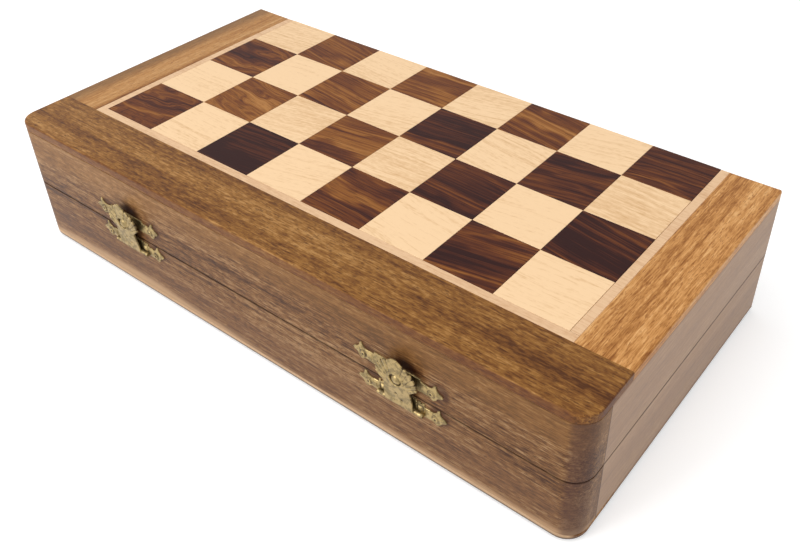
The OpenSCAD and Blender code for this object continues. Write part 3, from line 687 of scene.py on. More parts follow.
def soft_union(first, second, blend):
    """Joins two distances with a fillet."""
    share = np.clip(0.5 + 0.5 * (second - first) / blend, 0, 1)
    return second + (first - second) * share - blend * share * (1 - share)


def rise(value, low, high):
    """Runs smoothly from 0 to 1 while the value goes from low to high."""
    share = np.clip((value - low) / (high - low), 0, 1)
    return share * share * (3 - 2 * share)


def bump_at(u, v, at, size):
    """A soft bump, 1 high at its middle."""
    return np.exp(-((u - at[0]) / size[0]) ** 2 - ((v - at[1]) / size[1]) ** 2)


def ridge(value, at, width):
    """A soft ridge, 1 high, where the value is at."""
    return np.exp(-((value - at) / width) ** 2)


def round_edge(depth, radius):
    """How far a rounded edge lies below the face, at some depth inside the outline."""
    inward = np.clip(depth, 0, radius)
    return radius - np.sqrt(np.maximum(radius**2 - (radius - inward) ** 2, 0))


print("an edge rounded by 1 mm lies", round_edge(np.array([0, 0.5, 1.0]), 1.0).round(2), "mm low")

# %% A closed skin over an outline
slide_rounds, least_slope = 4, 0.3
fused_point = 0.0005 * MM


def skin(shape, away_from, front, back, low, high, step, place, dark=None):
    """Adds a relief to a bmesh. away_from(u, v) is the distance to the outline, front and back are heights.

    The grid from low to high has cells of one step. place turns u, v and height into x, y and z, and dark
    says how deep each point lies in a recess of the pattern.
    """
    axes = [np.linspace(a, b, math.ceil((b - a) / step) + 1) for a, b in zip(low, high)]
    u, v = np.meshgrid(*axes, indexing="ij")
    inside = away_from(u, v) < 0
    cells = inside[:-1, :-1] | inside[1:, :-1] | inside[:-1, 1:] | inside[1:, 1:]
    nudge = step / 50
    for _ in range(slide_rounds):
        away = np.maximum(away_from(u, v), 0)
        du = (away_from(u + nudge, v) - away_from(u - nudge, v)) / (2 * nudge)
        dv = (away_from(u, v + nudge) - away_from(u, v - nudge)) / (2 * nudge)
        slope = np.maximum(du**2 + dv**2, least_slope)
        u = u - np.where(inside, 0, away * du / slope)
        v = v - np.where(inside, 0, away * dv / slope)
    depth = np.where(inside, -away_from(u, v), 0)
    stain = shape.verts.layers.float.get("recess") or shape.verts.layers.float.new("recess")
    shade = dark(u, v, depth) if dark else np.zeros(u.shape)
    sheets = []
    for height in (front(u, v, depth), back(u, v, depth)):
        made, points = {}, place(u, v, height * np.ones(u.shape))
        for i, j in zip(*np.nonzero(cells)):
            for corner in ((i, j), (i + 1, j), (i + 1, j + 1), (i, j + 1)):
                if corner not in made:
                    made[corner] = shape.verts.new([axis[corner] * MM for axis in points])
                    made[corner][stain] = shade[corner]
        sheets.append(made)
    face_side, wall_side = sheets
    rims = {}
    for i, j in zip(*np.nonzero(cells)):
        loop = [(i, j), (i + 1, j), (i + 1, j + 1), (i, j + 1)]
        shape.faces.new([face_side[corner] for corner in loop])
        shape.faces.new([wall_side[corner] for corner in reversed(loop)])
        # An edge between two cells comes up once in each direction, and only the outer edges are left over
        for start, end in zip(loop, loop[1:] + loop[:1]):
            if rims.pop((end, start), None) is None:
                rims[start, end] = True
    for start, end in rims:
        shape.faces.new([face_side[end], face_side[start], wall_side[start], wall_side[end]])


def from_shape(name, shape, material, crease=sharp_angle):
    """A smooth object from a bmesh, with its doubles merged and its sharp edges kept."""
    bmesh.ops.remove_doubles(shape, verts=shape.verts, dist=fused_point)
    bmesh.ops.dissolve_degenerate(shape, edges=shape.edges, dist=fused_point)
    bmesh.ops.recalc_face_normals(shape, faces=shape.faces)
    for face in shape.faces:
        face.smooth = True
    for edge in shape.edges:
        edge.smooth = edge.calc_face_angle(0) < crease if edge.is_manifold else True
    mesh = bpy.data.meshes.new(name)
    shape.to_mesh(mesh)
    shape.free()
    mesh.materials.append(material)
    return add_object(name, mesh)


def turned(shape, profile, place, segments=48):
    """Adds a profile of radius and height, spun about its axis and closed at both ends. place gives
    millimetres."""
    rings = []
    for radius, height in profile:
        turns = (k * math.tau / segments for k in range(segments))
        points = (place(radius * math.cos(a), radius * math.sin(a), height) for a in turns)
        rings.append([shape.verts.new([axis * MM for axis in point]) for point in points])
    for start, end in zip(rings, rings[1:]):
        for k in range(segments):
            n = (k + 1) % segments
            shape.faces.new((start[k], start[n], end[n], end[k]))
    shape.faces.new(rings[-1])
    shape.faces.new(list(reversed(rings[0])))


print("skins are laid on a grid, and pegs are spun")

# %% [markdown]
# ## Brass
# The latches are stamped from thin sheet and plated a dull antique gold, and dark lacquer stays in the
# recesses of the pattern. The skins carry a number called recess from 0 to 1, and the finish mixes the dark
# colour in by it, with some noise so that the edge of a stain is never even. The hinges and their screws
# are plain polished brass.

# %% Two brasses
def brass_finish(name, colour, stain, roughness, wear=1.0):
    finish = Finish(name)
    bright, dark = paint(*colour), paint(*stain)
    dimmed = paint(*(part * (1 - 0.22 * wear) for part in colour))
    cloud = finish.noise((2.2, 2.2, 2.2), detail=3, roughness=0.6)
    speck = finish.noise((0.5, 0.5, 0.5), detail=2)
    brushed = finish.noise((0.25, 5, 5), detail=2)
    uneven = (cloud - 0.5) * (0.9 * wear) + (speck - 0.5) * (0.5 * wear)
    dull = finish.step(finish.attribute("recess") + uneven, 0.15, 0.95)
    worn = finish.mix(finish.step(cloud, 0.4, 0.6), bright, dimmed)
    pitted = finish.mix(finish.step(speck, 0.62, 0.8) * (0.35 * wear), worn, dark)
    return finish.surface(Base_Color=finish.mix(dull, pitted, dark), Metallic=1 - dull * 0.6,
                          Roughness=dull * 0.2 + cloud * 0.14 + roughness,
                          Normal=finish.bump(speck * 0.6 + brushed * 0.4, 0.02, 0.5 * wear))


latch_brass = brass_finish("antique_brass", (168, 146, 100), (60, 42, 24), 0.38)
hinge_brass = brass_finish("polished_brass", (208, 176, 112), (120, 86, 44), 0.24, wear=0.25)
print("two brasses")

# %% [markdown]
# ## The latches
# Each latch has four pieces. The lower plate is nailed under the parting line, and its bottom edge is
# curled round the pin. The catch above it has a nose, and was nailed on a little to one side and not quite
# level. The flap turns on the pin and its hole drops over the nose. All three sheets are stamped into
# leaves and a scallop shell, so each is a skin over an outline. The sizes are in millimetres from the
# middle of the latch: u runs along the wall, v up from the parting line, and the height out from the wall.

# %% Where the latches are
plate_t, plate_edge, plate_half_w = 0.5, 0.18, 10.7
nail_u, nail_r, nail_head_r, nail_head_h, nail_l = 15.7, 0.6, 1.3, 0.6, 9.0
lower_nail_v, catch_nail_v, catch_top_v = -5.3, 7.2, 11.0
catch_shift = {"left": 0.6, "right": 1.8}
catch_turn = {"left": 0, "right": math.radians(-2.5)}
pin_v, curl_r, bore_r, curl_gap = -6.5, 0.95, 0.45, 0.15
flap_half_w, flap_t, flap_lean = 6.6, 0.5, math.radians(4.5)
joint_at = {j["name"]: Vector(j["pos_m"]) for j in frame["record"]["behaviour"]["joints"]}
latch_at = {side: joint_at[f"{side}_flap_hinge"] for side in ("left", "right")}
parting_z = joint_at["lid_hinge"].z
wall_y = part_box("lid_front_wall")[0].y


def on_wall(middle_x, turn=0, about_v=0):
    """Places u, v and height on the front wall, round a latch whose plate may be turned out of the level."""
    across, up = math.cos(turn), math.sin(turn)
    return lambda u, v, height: (u * across - (v - about_v) * up + middle_x / MM, wall_y / MM - height,
                                 u * up + (v - about_v) * across + about_v + parting_z / MM)


def on_flap(side):
    """Places u, v and height on a flap, which leans out from its pin."""
    axis = latch_at[side] / MM
    lean_out, lean_up = math.sin(flap_lean), math.cos(flap_lean)
    return lambda u, v, height: (u + axis.x, axis.y - v * lean_out - height * lean_up,
                                 axis.z + v * lean_up - height * lean_out)


def on_catch(side):
    return on_wall(latch_at[side].x - catch_shift[side] * MM, catch_turn[side], catch_nail_v)


print("latches at x =", [round(p.x / MM, 2) for p in latch_at.values()], "pins at z =",
      round(parting_z / MM + pin_v, 2), [round(p.z / MM, 2) for p in latch_at.values()])

# %% The stamped ears
ear_points = [(-5.6, -2), (-1.6, -2), (1, -2.9), (4.9, 0.7), (1.5, 4.9), (-1.7, 2.6), (-5.6, 2.6)]
ear_bites = [((4.3, 4.1), 2.4), ((4.3, -2.3), 2.2), ((-1.7, 5), 2.6), ((-1.8, -4.3), 2.5)]
ear_reach, ear_drop, tip_round = 4, 2.2, 0.1
groove_in, leaf_h, seat_r = 0.7, 0.22, nail_head_r + 0.4


def ears(u, v, nail_v):
    """Both leaf-shaped ears of a plate, each round its nail."""
    across, up = np.abs(u) - nail_u, v - nail_v
    away = outline(across, up, ear_points)
    for at, radius in ear_bites:
        away = np.maximum(away, -disc(across, up, at, radius))
    return away - tip_round


def from_nail(u, v, nail_v):
    return np.hypot(np.abs(u) - nail_u, v - nail_v)


def plate_height(u, v, depth, nail_v):
    """A flat sheet with a rounded edge, a groove along it, raised leaves and a seat round each nail."""
    leaf = np.where(np.abs(u) > nail_u - ear_reach, rise(depth, 0.2, 1.6) * leaf_h, 0)
    return (plate_t - round_edge(depth, plate_edge) - ridge(depth, groove_in, 0.2) * 0.08 + leaf
            - ridge(from_nail(u, v, nail_v), seat_r, 0.3) * 0.2)


def plate_recess(u, v, depth, nail_v):
    """Dark lacquer in the groove, in the seats of the nails and along the edge."""
    seat = ridge(from_nail(u, v, nail_v), nail_head_r + 0.3, 0.3)
    return ridge(depth, groove_in, 0.25) * 0.2 + seat * 0.7 + ridge(depth, 0, 0.15) * 0.4


print("an ear has", len(ear_points), "corners and", len(ear_bites), "round bites")

# %% The two plates
plate_top_v = -0.9
boss_u, boss_v, boss_half, boss_h, boss_groove_at = 8.7, -4.1, 1.2, 0.45, 1.4
notch_us, notch_half, notch_l, fillet = (9.3, 7.4), 0.4, 0.8, 0.6


def from_boss(u, v):
    """Square distance from the middle of the little pyramids beside the flap."""
    return np.maximum(np.abs(np.abs(u) - boss_u), np.abs(v - boss_v))


def lower_outline(u, v):
    plate = slab(u, v, (-plate_half_w, pin_v), (plate_half_w, plate_top_v))
    away = soft_union(plate, ears(u, v, lower_nail_v), fillet)
    for middle in notch_us:
        notch = slab(np.abs(u), v, (middle - notch_half, plate_top_v - notch_l), (middle + notch_half, 1))
        away = np.maximum(away, -notch)
    return away


def lower_front(u, v, depth):
    out = from_boss(u, v)
    pyramid = (1 - rise(out, 0.3, boss_half)) * boss_h
    return plate_height(u, v, depth, lower_nail_v) + pyramid - ridge(out, boss_groove_at, 0.2) * 0.15


def lower_recess(u, v, depth):
    return plate_recess(u, v, depth, lower_nail_v) + ridge(from_boss(u, v), boss_groove_at, 0.25) * 0.6


def catch_outline(u, v):
    plate = slab(u, v, (-plate_half_w, catch_nail_v - ear_drop), (plate_half_w, catch_top_v))
    return soft_union(plate, ears(u, v, catch_nail_v), fillet)


def catch_front(u, v, depth):
    return plate_height(u, v, depth, catch_nail_v)


def catch_recess(u, v, depth):
    return plate_recess(u, v, depth, catch_nail_v)


def flat_back(u, v, depth):
    return 0


probe = np.array([0.0])
print("the lower nails lie", -lower_outline(probe, probe + lower_nail_v).round(2)[0], "mm above the edge")

# %% A sheet's edge, rolled round the pin
curl_step, curl_stain, end_ease = 12, 0.4, 0.12


def rolled(shape, place, low_u, high_u, first=-200, last=100):
    """A tube of sheet round the pin, open by a slit where the sheet's edge comes round. Angles in degrees."""
    turns = [math.radians(a) for a in range(first, last + 1, curl_step)]
    section = [(math.sin(a) * curl_r, math.cos(a) * curl_r) for a in turns]
    section += [(math.sin(a) * bore_r, math.cos(a) * bore_r) for a in reversed(turns)]
    stain = shape.verts.layers.float["recess"]
    rings = []
    for u, inset in ((low_u, end_ease), (low_u + end_ease, 0), (high_u - end_ease, 0), (high_u, end_ease)):
        ring = []
        for v, height in section:
            is_outer = math.hypot(v, height) > (bore_r + curl_r) / 2
            share = 1 - inset / curl_r if is_outer else 1
            ring.append(shape.verts.new([axis * MM for axis in place(u, v * share, height * share)]))
            ring[-1][stain] = curl_stain
        rings.append(ring)
    count = len(section)
    for start, end in zip(rings, rings[1:]):
        for k in range(count):
            shape.faces.new((start[k], start[(k + 1) % count], end[(k + 1) % count], end[k]))
    half = count // 2
    for ring in (rings[0], rings[-1]):
        for k in range(half - 1):
            shape.faces.new((ring[k], ring[k + 1], ring[count - 2 - k], ring[count - 1 - k]))


print("a curl is a tube", round(curl_r - bore_r, 2), "mm thick")

# %% Make the plates and the catches
plate_reach, plate_step = 22, 0.2
curl_from, curl_to = -186, 150
nose_r, nose_h, nose_v, nose_dome, nose_root, nose_last_turn = 2.2, 3.95, 7.2, 1.1, 0.2, 1.52


def make_plate(side):
    at = latch_at[side]
    shape = bmesh.new()
    low, high = (-plate_reach, pin_v - 2.5), (plate_reach, 0)
    skin(shape, lower_outline, lower_front, flat_back, low, high, plate_step, on_wall(at.x), lower_recess)
    for sign in (-1, 1):
        ends = sorted((sign * (flap_half_w + curl_gap), sign * plate_half_w))
        rolled(shape, lambda u, v, height: (u + at.x / MM, at.y / MM - height, at.z / MM + v), *ends,
               first=curl_from, last=curl_to)
    return stand_in(from_shape(f"{side}_latch_stamped_plate", shape, latch_brass), f"{side}_latch_plate")


def make_catch(side):
    shape = bmesh.new()
    low, high = (-plate_reach, catch_nail_v - 4), (plate_reach, catch_top_v + 1.5)
    skin(shape, catch_outline, catch_front, flat_back, low, high, plate_step, on_catch(side), catch_recess)
    turns = np.linspace(0, nose_last_turn, 9)
    dome = [(nose_r * math.cos(a), nose_h - nose_dome + nose_dome * math.sin(a)) for a in turns]
    at_nose = on_wall(latch_at[side].x)
    nose = [(nose_r, nose_root)] + dome
    turned(shape, nose, lambda u, v, height: at_nose(u, v + nose_v, height), segments=32)
    return stand_in(from_shape(f"{side}_latch_stamped_catch", shape, latch_brass), f"{side}_latch_catch")


for side in latch_at:
    print(len(make_plate(side).data.vertices), len(make_catch(side).data.vertices), "points")

# %% [markdown]
# The flap's shell opens like a fan from its waist. Grooves run from there to its rim, which has a shallow
# scallop between each two of them and a leaf at the top. A collar stands round the hole. The tab narrows up
# to the waist, and its foot is rolled round the pin. Because the flap leans out, a low relief stays behind
# the plane of its peak.

# %% The flap's outline and relief
shell_r, flap_l, peak_rise = 9.5, 24.5, 1.2
shell_v = flap_l - shell_r - peak_rise
fan_v = 8.6
hole_v, hole_r = 14.1, 2.7
sheet_top = curl_r - 0.06
first_groove, groove_pitch, grooves = math.radians(16), math.radians(10.7), 5
shell_foot_v = 13
tab_points = [(-6.6, 0.3), (6.6, 0.3), (6.6, 4.6), (5.8, 9.8), (9.4, 13.2), (-9.4, 13.2), (-5.8, 9.8),
              (-6.6, 4.6)]
peak_points = [(-3.3, 21.5), (-2.9, 22.9), (-1.3, 24.1), (0, 24.5), (1.3, 24.1), (2.9, 22.9), (3.3, 21.5)]
dimple_points, dimple_r = [(-0.6, 6.2), (1.75, 3.6)], 0.55
scallop, flap_step = 0.9, 0.17


def fan(u, v):
    """Distance from the fan's middle, and how near the closest groove is: 1 on it, 0 halfway to the next."""
    turn = np.arctan2(np.abs(u), v - fan_v)
    share = (turn - first_groove) / groove_pitch
    near = 1 - np.abs(np.sin(share * math.pi))
    return np.hypot(u, v - fan_v), np.where((share > -0.5) & (share < grooves - 0.5), near, 0)


def flap_outline(u, v):
    _, near = fan(u, v)
    shell = np.maximum(disc(u, v, (0, shell_v), shell_r) + near**2 * scallop, shell_foot_v - v)
    away = np.minimum(outline(u, v, tab_points), shell)
    away = np.minimum(away, outline(u, v, peak_points))
    return np.maximum(away, -disc(u, v, (0, hole_v), hole_r))


def groove_depth(u, v):
    """1 in the grooves of the fan, fading out round the hole and on the tab."""
    out, near = fan(u, v)
    clear = rise(disc(u, v, (0, hole_v), hole_r), 0.7, 1.8) * rise(out, 5.0, 7.0)
    return near**2 * clear


def dimples(u, v):
    return sum(bump_at(u, v, at, (dimple_r, dimple_r)) for at in dimple_points)


def flap_relief(u, v):
    """A low dome with ribs and a collar round the hole, held back as far as the flap leans out."""
    dome = np.clip(1 - disc(u, v, (0, shell_v), 0) / 11, 0, 1) * 0.5
    collar = ridge(disc(u, v, (0, hole_v), hole_r), 0.55, 0.4) * 0.3
    out, near = fan(u, v)
    ribs = (1 - near) * rise(out, 6.0, 8.0) * 0.12
    lean_room = np.maximum(flap_l - v, 0) * math.tan(flap_lean)
    return np.minimum(dome + collar + ribs, lean_room)


def flap_front(u, v, depth):
    hollows = groove_depth(u, v) * 0.22 + dimples(u, v) * 0.3
    return sheet_top - round_edge(depth, 0.2) + flap_relief(u, v) - hollows


def flap_back(u, v, depth):
    return sheet_top - flap_t + flap_relief(u, v) * 0.8 * rise(depth, 0, 1)


def flap_recess(u, v, depth):
    hole = disc(u, v, (0, hole_v), hole_r)
    return groove_depth(u, v) * 0.6 + dimples(u, v) + ridge(hole, 1.3, 0.3) * 0.4 + ridge(depth, 0, 0.2) * 0.4


print("the fan has", 2 * grooves, "grooves, and its rim lies", round(shell_v + shell_r, 2), "mm over the pin")

# %% Make the flaps
def make_flap(side):
    shape = bmesh.new()
    low, high = (-10, 0.1), (10, flap_l + 0.2)
    skin(shape, flap_outline, flap_front, flap_back, low, high, flap_step, on_flap(side), flap_recess)
    rolled(shape, on_flap(side), -flap_half_w, flap_half_w)
    return stand_in(from_shape(f"{side}_latch_shell_flap", shape, latch_brass), f"{side}_latch_flap")


for side in latch_at:
    print(make_flap(side).name)
    dress(f"{side}_latch_pin", latch_brass)

# %% [markdown]
# ## Nails
# Eight small nails hold the latches, two to a plate. Geometry Nodes builds one from a ball and a cylinder,
# dents the middle of its head, and puts it at each end of each plate. Every nail is turned and tilted by
# chance, as hammered ones are.

# %% A tree for the nails
# The dent and the stains, from and to a share of the head's radius. A stain is 1 or 0 where it starts.
dent_from, dent_to, dent_depth = 0.15, 0.6, 0.5
dent_stain, rim_stain = (0.25, 0.55, 1), (0.8, 0.95, 0)
nail_lean, nail_turn = 0.05, 3


def nails_tree():
    graph, given, identifiers = new_geometry_tree("nails", {
        "Left Plate": "Vector", "Right Plate": "Vector", "Wall": "Float", "Nail Distance": "Float",
        "Shank": "Float", "Head": "Float", "Head Height": "Float", "Length": "Float", "Seed": "Int",
        "Metal": "Material"})
    points = graph.node("GeometryNodePoints", None, {"Count": 4})
    index = graph.node("GeometryNodeInputIndex")
    latch = graph.maths("FLOOR", index / 2)
    reach = ((index - latch * 2) * 2 - 1) * given["Nail Distance"]
    plate = graph.node("ShaderNodeMix", {"data_type": "VECTOR"},
                       {0: latch, 4: given["Left Plate"], 5: given["Right Plate"]}, output=1)
    x, turn, z = (graph.part(plate, axis) for axis in "XYZ")
    across, up = reach * graph.maths("COSINE", turn), reach * graph.maths("SINE", turn)
    place = graph.combine(x + across, given["Wall"], z + up)
    placed = graph.node("GeometryNodeSetPosition", None, {"Geometry": points, "Position": place})
    ball = graph.node("GeometryNodeMeshUVSphere", None, {"Segments": 24, "Rings": 16, "Radius": 1})
    here = graph.node("GeometryNodeInputPosition")
    from_axis = graph.length(graph.vector("MULTIPLY", here, (1, 0, 1)))
    dent = graph.node("ShaderNodeMapRange", {"interpolation_type": "SMOOTHSTEP"}, {
        "Value": from_axis, "From Min": dent_from, "From Max": dent_to, "To Min": dent_depth, "To Max": 0})
    inward = graph.combine(0.0, dent, 0.0)
    dented = graph.node("GeometryNodeSetPosition", None, {"Geometry": ball, "Offset": inward})
    in_dent, on_rim = (graph.node("ShaderNodeMapRange", None, {
        "Value": from_axis, "From Min": low, "From Max": high, "To Min": first, "To Max": 1 - first})
                       for low, high, first in (dent_stain, rim_stain))
    stained = store(graph, dented, "recess", "FLOAT", in_dent + on_rim)
    head_size = graph.combine(given["Head"], given["Head Height"], given["Head"])
    head = graph.node("GeometryNodeTransform", None, {"Geometry": stained, "Scale": head_size})
    rod = graph.node("GeometryNodeMeshCylinder", None, {
        "Vertices": 16, "Radius": given["Shank"], "Depth": given["Length"]})
    shank = graph.node("GeometryNodeTransform", None, {
        "Geometry": rod, "Translation": graph.combine(0.0, given["Length"] / 2, 0.0),
        "Rotation": (math.pi / 2, 0, 0)})
    nail = graph.node("GeometryNodeJoinGeometry")
    for part in (head, shank):
        graph.tree.links.new(part.socket, nail.socket.node.inputs[0])
    tilt = graph.node("FunctionNodeRandomValue", {"data_type": "FLOAT_VECTOR"}, {
        0: (-nail_lean, 0, -nail_lean), 1: (nail_lean, nail_turn, nail_lean), "Seed": given["Seed"]})
    laid = graph.node("GeometryNodeInstanceOnPoints", None,
                      {"Points": placed, "Instance": nail, "Rotation": tilt})
    end_tree(graph, laid, given["Metal"])
    return graph.tree, identifiers


nails, nails_inputs = nails_tree()
print(len(nails.nodes), "nodes make the nails")

# %% Drive the nails
# Each plate is its middle's x, its turn and its nails' z
lower_plates, catch_plates = [], []
for side, at in latch_at.items():
    catch_x = at.x - catch_shift[side] * MM
    lower_plates.append(Vector((at.x, 0, parting_z + lower_nail_v * MM)))
    catch_plates.append(Vector((catch_x, catch_turn[side], parting_z + catch_nail_v * MM)))
for half, plates in (("lower", lower_plates), ("lid", catch_plates)):
    made = grow(f"{half}_domed_nails", nails, nails_inputs, {
        "Left Plate": plates[0], "Right Plate": plates[1], "Wall": wall_y - (plate_t + 0.1) * MM,
        "Nail Distance": nail_u * MM, "Shank": nail_r * MM, "Head": nail_head_r * MM,
        "Head Height": (nail_head_h - 0.1) * MM, "Length": nail_l * MM, "Seed": 7, "Metal": latch_brass})
    stand_in(apply_all(made), f"{half}_latch_nails")
    made.data.shade_smooth()
    print(made.name, len(made.data.polygons), "faces")

# %% [markdown]
# ## The case
# The boards are one kind of hardwood, and they differ as real offcuts do: the front walls are a greyish
# brown with long streaks, the front rail is golden brown and mottled, and the side rails are the colour of
# honey. The side walls are the front's walnut, painted paler and greyer as sheen, and the side rails' outer
# faces take that grey at the bottom. The grain runs along every board, and glue darkens the joints. Painted
# shade darkens the line where the halves meet, the bottom edge, the front and the ends of the lid's front
# rail and the upright front corners, and painted shadows lie above each latch and round its ears. The front
# edge of the lower front rail is pale sapwood.

# %% Where a mark lies
case_low, case_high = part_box("lower_front_wall")[0] / MM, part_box("lid_right_wall")[1] / MM
joint_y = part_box("lid_front_wall")[1].y / MM
parting = parting_z / MM
rail_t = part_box("lower_right_rail")[1].z / MM


def near(finish, value, at, reach):
    """1 where the value is at some number, 0 from reach away."""
    return finish.step(abs(value - at), 0, reach, 1, 0)


def off_level(finish):
    """0 on a level face, 1 on upright faces and rounded edges."""
    normal = finish.node("ShaderNodeTexCoord", output="Normal")
    return finish.step(abs(finish.part(normal, "Z")), 0.9, 0.99, 1, 0)


def blot(finish, across, up, size, low, high):
    """An oval patch with an uneven edge, from 1 in its middle to 0."""
    away = ((across / size[0]) ** 2 + (up / size[1]) ** 2) ** 0.5
    return finish.step(away + finish.noise((3, 3, 3)) * 0.4, low, high, 1, 0)


print("the halves meet at", round(parting, 2), "mm, and the front wall is",
      round(joint_y - case_low.y, 2), "mm thick")

# %% Marks on the walls
# A dark for glue lines and painted shade, a brown for the painted shadows by the latches, and the painted
# shade of the upright front corners
glue_and_shade_dark, latch_shadow_brown, corner_shade = paint(32, 17, 9), paint(50, 18, 8), paint(78, 52, 44)
golden_sapwood, pale_sapwood = paint(148, 104, 54), paint(184, 150, 114)
purplish_heartwood = paint(112, 80, 58)
# Where the painted shadows lie: from the middle of a latch and the parting line, and from a nail of the
# latch, in millimetres
latch_shadow_at, latch_shadow_size = (3.2, 13.2), (8.0, 4.6)
ear_shadow_shift, ear_shadow_rise, ear_shadow_size = 1.2, 1.4, (5.6, 4.8)
# How far the round of an upright front corner comes in along both walls, and half the width of the band
# of painted shade round it
corner_in, corner_reach = 5.6, 2.6


def wall_marks(finish, colour):
    """Dark glued joints, and painted shade where the halves meet and round each upright front corner. The
    flat rims stay clean.
    """
    x, y, z = (finish.along(axis) for axis in "XYZ")
    # A band of painted shade round each upright front corner
    corner = near(finish, abs(x) - y, case_high.x - case_low.y - corner_in, corner_reach)
    colour = finish.mix(corner * 0.6, colour, corner_shade)
    # Painted shade along the line where the halves meet, kept off the flat rims; the joint below it is dark
    # glue
    parting_shade = near(finish, z, parting, 0.85) * off_level(finish)
    joint = near(finish, y, joint_y, 0.45) * 0.8
    return finish.mix(finish.maths("MAXIMUM", parting_shade, joint) * 0.85, colour, glue_and_shade_dark)


def latch_shadows(finish, middle_x):
    """A painted shadow above one latch and painted shadows round its four ears."""
    u, v = finish.along("X") - middle_x, finish.along("Z") - parting
    painted_shadows = blot(finish, u - latch_shadow_at[0], v - latch_shadow_at[1], latch_shadow_size, 0.4, 1.3)
    beside = abs(u - ear_shadow_shift) - nail_u
    for nail_v in (lower_nail_v, catch_nail_v):
        # A painted shadow beside each ear, a little up and out from its nail
        stain = blot(finish, beside, v - nail_v - ear_shadow_rise, ear_shadow_size, 0.8, 1.3)
        painted_shadows = finish.maths("MAXIMUM", painted_shadows, stain * 0.75)
    return painted_shadows


def front_marks(finish, colour):
    """Golden sapwood at the top of the front, purplish heartwood low down, and painted shadows round each
    latch.
    """
    y, z = finish.along("Y"), finish.along("Z")
    height = z + finish.noise((120, 40, 20), detail=2) * 14
    colour = finish.mix(finish.step(height, 50, 62) * 0.3, colour, golden_sapwood)
    colour = finish.mix(finish.step(height, 22, 36, 1, 0) * 0.3, colour, purplish_heartwood)
    colour = finish.mix(finish.step(height, 11, 15.5, 1, 0) * 0.7, colour, pale_sapwood)
    front = finish.step(y, 0, 1, 1, 0)
    for middle in latch_at.values():
        # The painted shadows above and round each latch, on the front face only
        colour = finish.mix(latch_shadows(finish, middle.x / MM) * front * 0.9, colour, latch_shadow_brown)
    return wall_marks(finish, colour)


# How high above the parting line the painted shadow over each latch lies
print("thumbs press", latch_shadow_at[1], "mm above the parting line")

# %% Marks on the rails
# Painted contact shade for the foot, the grey of the side wall's painted sheen, and painted shade for the lid
# rail's edges
contact_shade_brown, side_sheen_grey, rail_edge_shade = paint(40, 24, 15), paint(128, 102, 84), paint(84, 46, 28)
edge_sapwood, edge_heartwood = paint(202, 170, 136), paint(104, 82, 60)


def shaded_foot(finish, colour):
    """Painted contact shade on the rounded bottom edge."""
    foot = finish.step(finish.along("Z"), 2.3, 3.3, 1, 0)
    return finish.mix(foot * off_level(finish) * 0.85, colour, contact_shade_brown)


def sheen_band_and_shaded_foot(finish, colour):
    """A side rail's outer face at the bottom takes the greyish colour of the side wall's painted sheen, and
    its edge painted contact shade.
    """
    z = finish.along("Z")
    outer = finish.step(z, 0.05, 0.5) * finish.step(z, rail_t, rail_t + 0.1, 1, 0)
    return shaded_foot(finish, finish.mix(outer * 0.8, colour, side_sheen_grey))


def lid_rail_shade(finish, colour):
    """Painted shade on the front face and the ends of the lid's front rail."""
    ends = finish.step(abs(finish.along("X")), case_high.x - 0.7, case_high.x - 0.2)
    front = finish.step(finish.along("Y"), case_low.y + 0.1, case_low.y + 0.5, 1, 0)
    return finish.mix(finish.maths("MAXIMUM", ends, front) * 0.55, colour, rail_edge_shade)


def lower_rail_marks(finish, colour):
    """The front edge of the lower front rail is pale sapwood."""
    sap = finish.step(finish.along("Y"), case_low.y + 1.5, case_low.y + 4, 1, 0)
    uneven = finish.noise((30, 10, 3), detail=3) * 0.5 + 0.5
    return shaded_foot(finish, finish.mix(sap * uneven, colour, edge_sapwood))


def left_rail_marks(finish, colour):
    """Heartwood along the outer edge of the left rail."""
    heart = finish.step(finish.along("X"), case_low.x + 3, case_low.x + 12, 1, 0)
    return sheen_band_and_shaded_foot(finish, finish.mix(heart * 0.55, colour, edge_heartwood))


print("a rail is", round(rail_t, 2), "mm thick")

# %% Woods of the case
def between(tones, tint, share):
    """The same tones, each taken a share of the way to a tint."""
    blend = [tuple(p * (1 - share) + t * share for p, t in zip(colour, tint)) for _, colour in tones]
    return [(place, colour) for (place, _), colour in zip(tones, blend)]


# The side walls: the front's walnut taken halfway to a pale pinkish grey, which is painted sheen
walnut_with_painted_sheen = between(walnut, (204, 178, 160), 0.5)
dull_honey = between(honey, (0, 0, 0), 0.1)
front_wood = wood("front_wall_wood", "X", walnut, shift=(10, 0, 0), broad=1.2, streak=1.1, fibres=1.9,
                  mottle=0.9, pores=0.7, marks=front_marks)
side_wood = wood("side_wall_wood", "Y", walnut_with_painted_sheen, shift=(-310, 40, 12), pith=(190, 0, 60), figure=0.3,
                 streak=0.7, fibres=1.1, pores=0.2, roughness=0.5, shine=0.25, marks=wall_marks)
rail_grain = {"shift": (200, 30, 50), "pith": (0, -120, 20), "pores": 0.7, "ring": 3.5, "mottle": 0.9,
              "broad": 1.1, "fibres": 1.1}
rail_woods = {
    "lid": wood("lid_front_rail_wood", "X", golden_brown, marks=lid_rail_shade, **rail_grain),
    "lower": wood("lower_front_rail_wood", "X", golden_brown, marks=lower_rail_marks, **rail_grain)}
right_rail_wood = wood("right_rail_wood", "Y", honey, shift=(400, 10, 40), pith=(100, 0, 30), ring=3,
                       streak=1.2, fibres=1.4, pores=0.6, marks=sheen_band_and_shaded_foot)
left_rail_wood = wood("left_rail_wood", "Y", dull_honey, shift=(700, 90, 60), pith=(-100, 0, 10), ring=4,
                      fibres=0.9, broad=1.1, streak=0.8, marks=left_rail_marks)
strip_wood = maple_finish("maple_strips", (222, 185, 146), (196, 152, 112), loose=False)
plywood = wood("plywood", "X", [(0.2, (196, 160, 112)), (0.8, (222, 190, 142))], ring=9)
print("seven woods and a plywood")

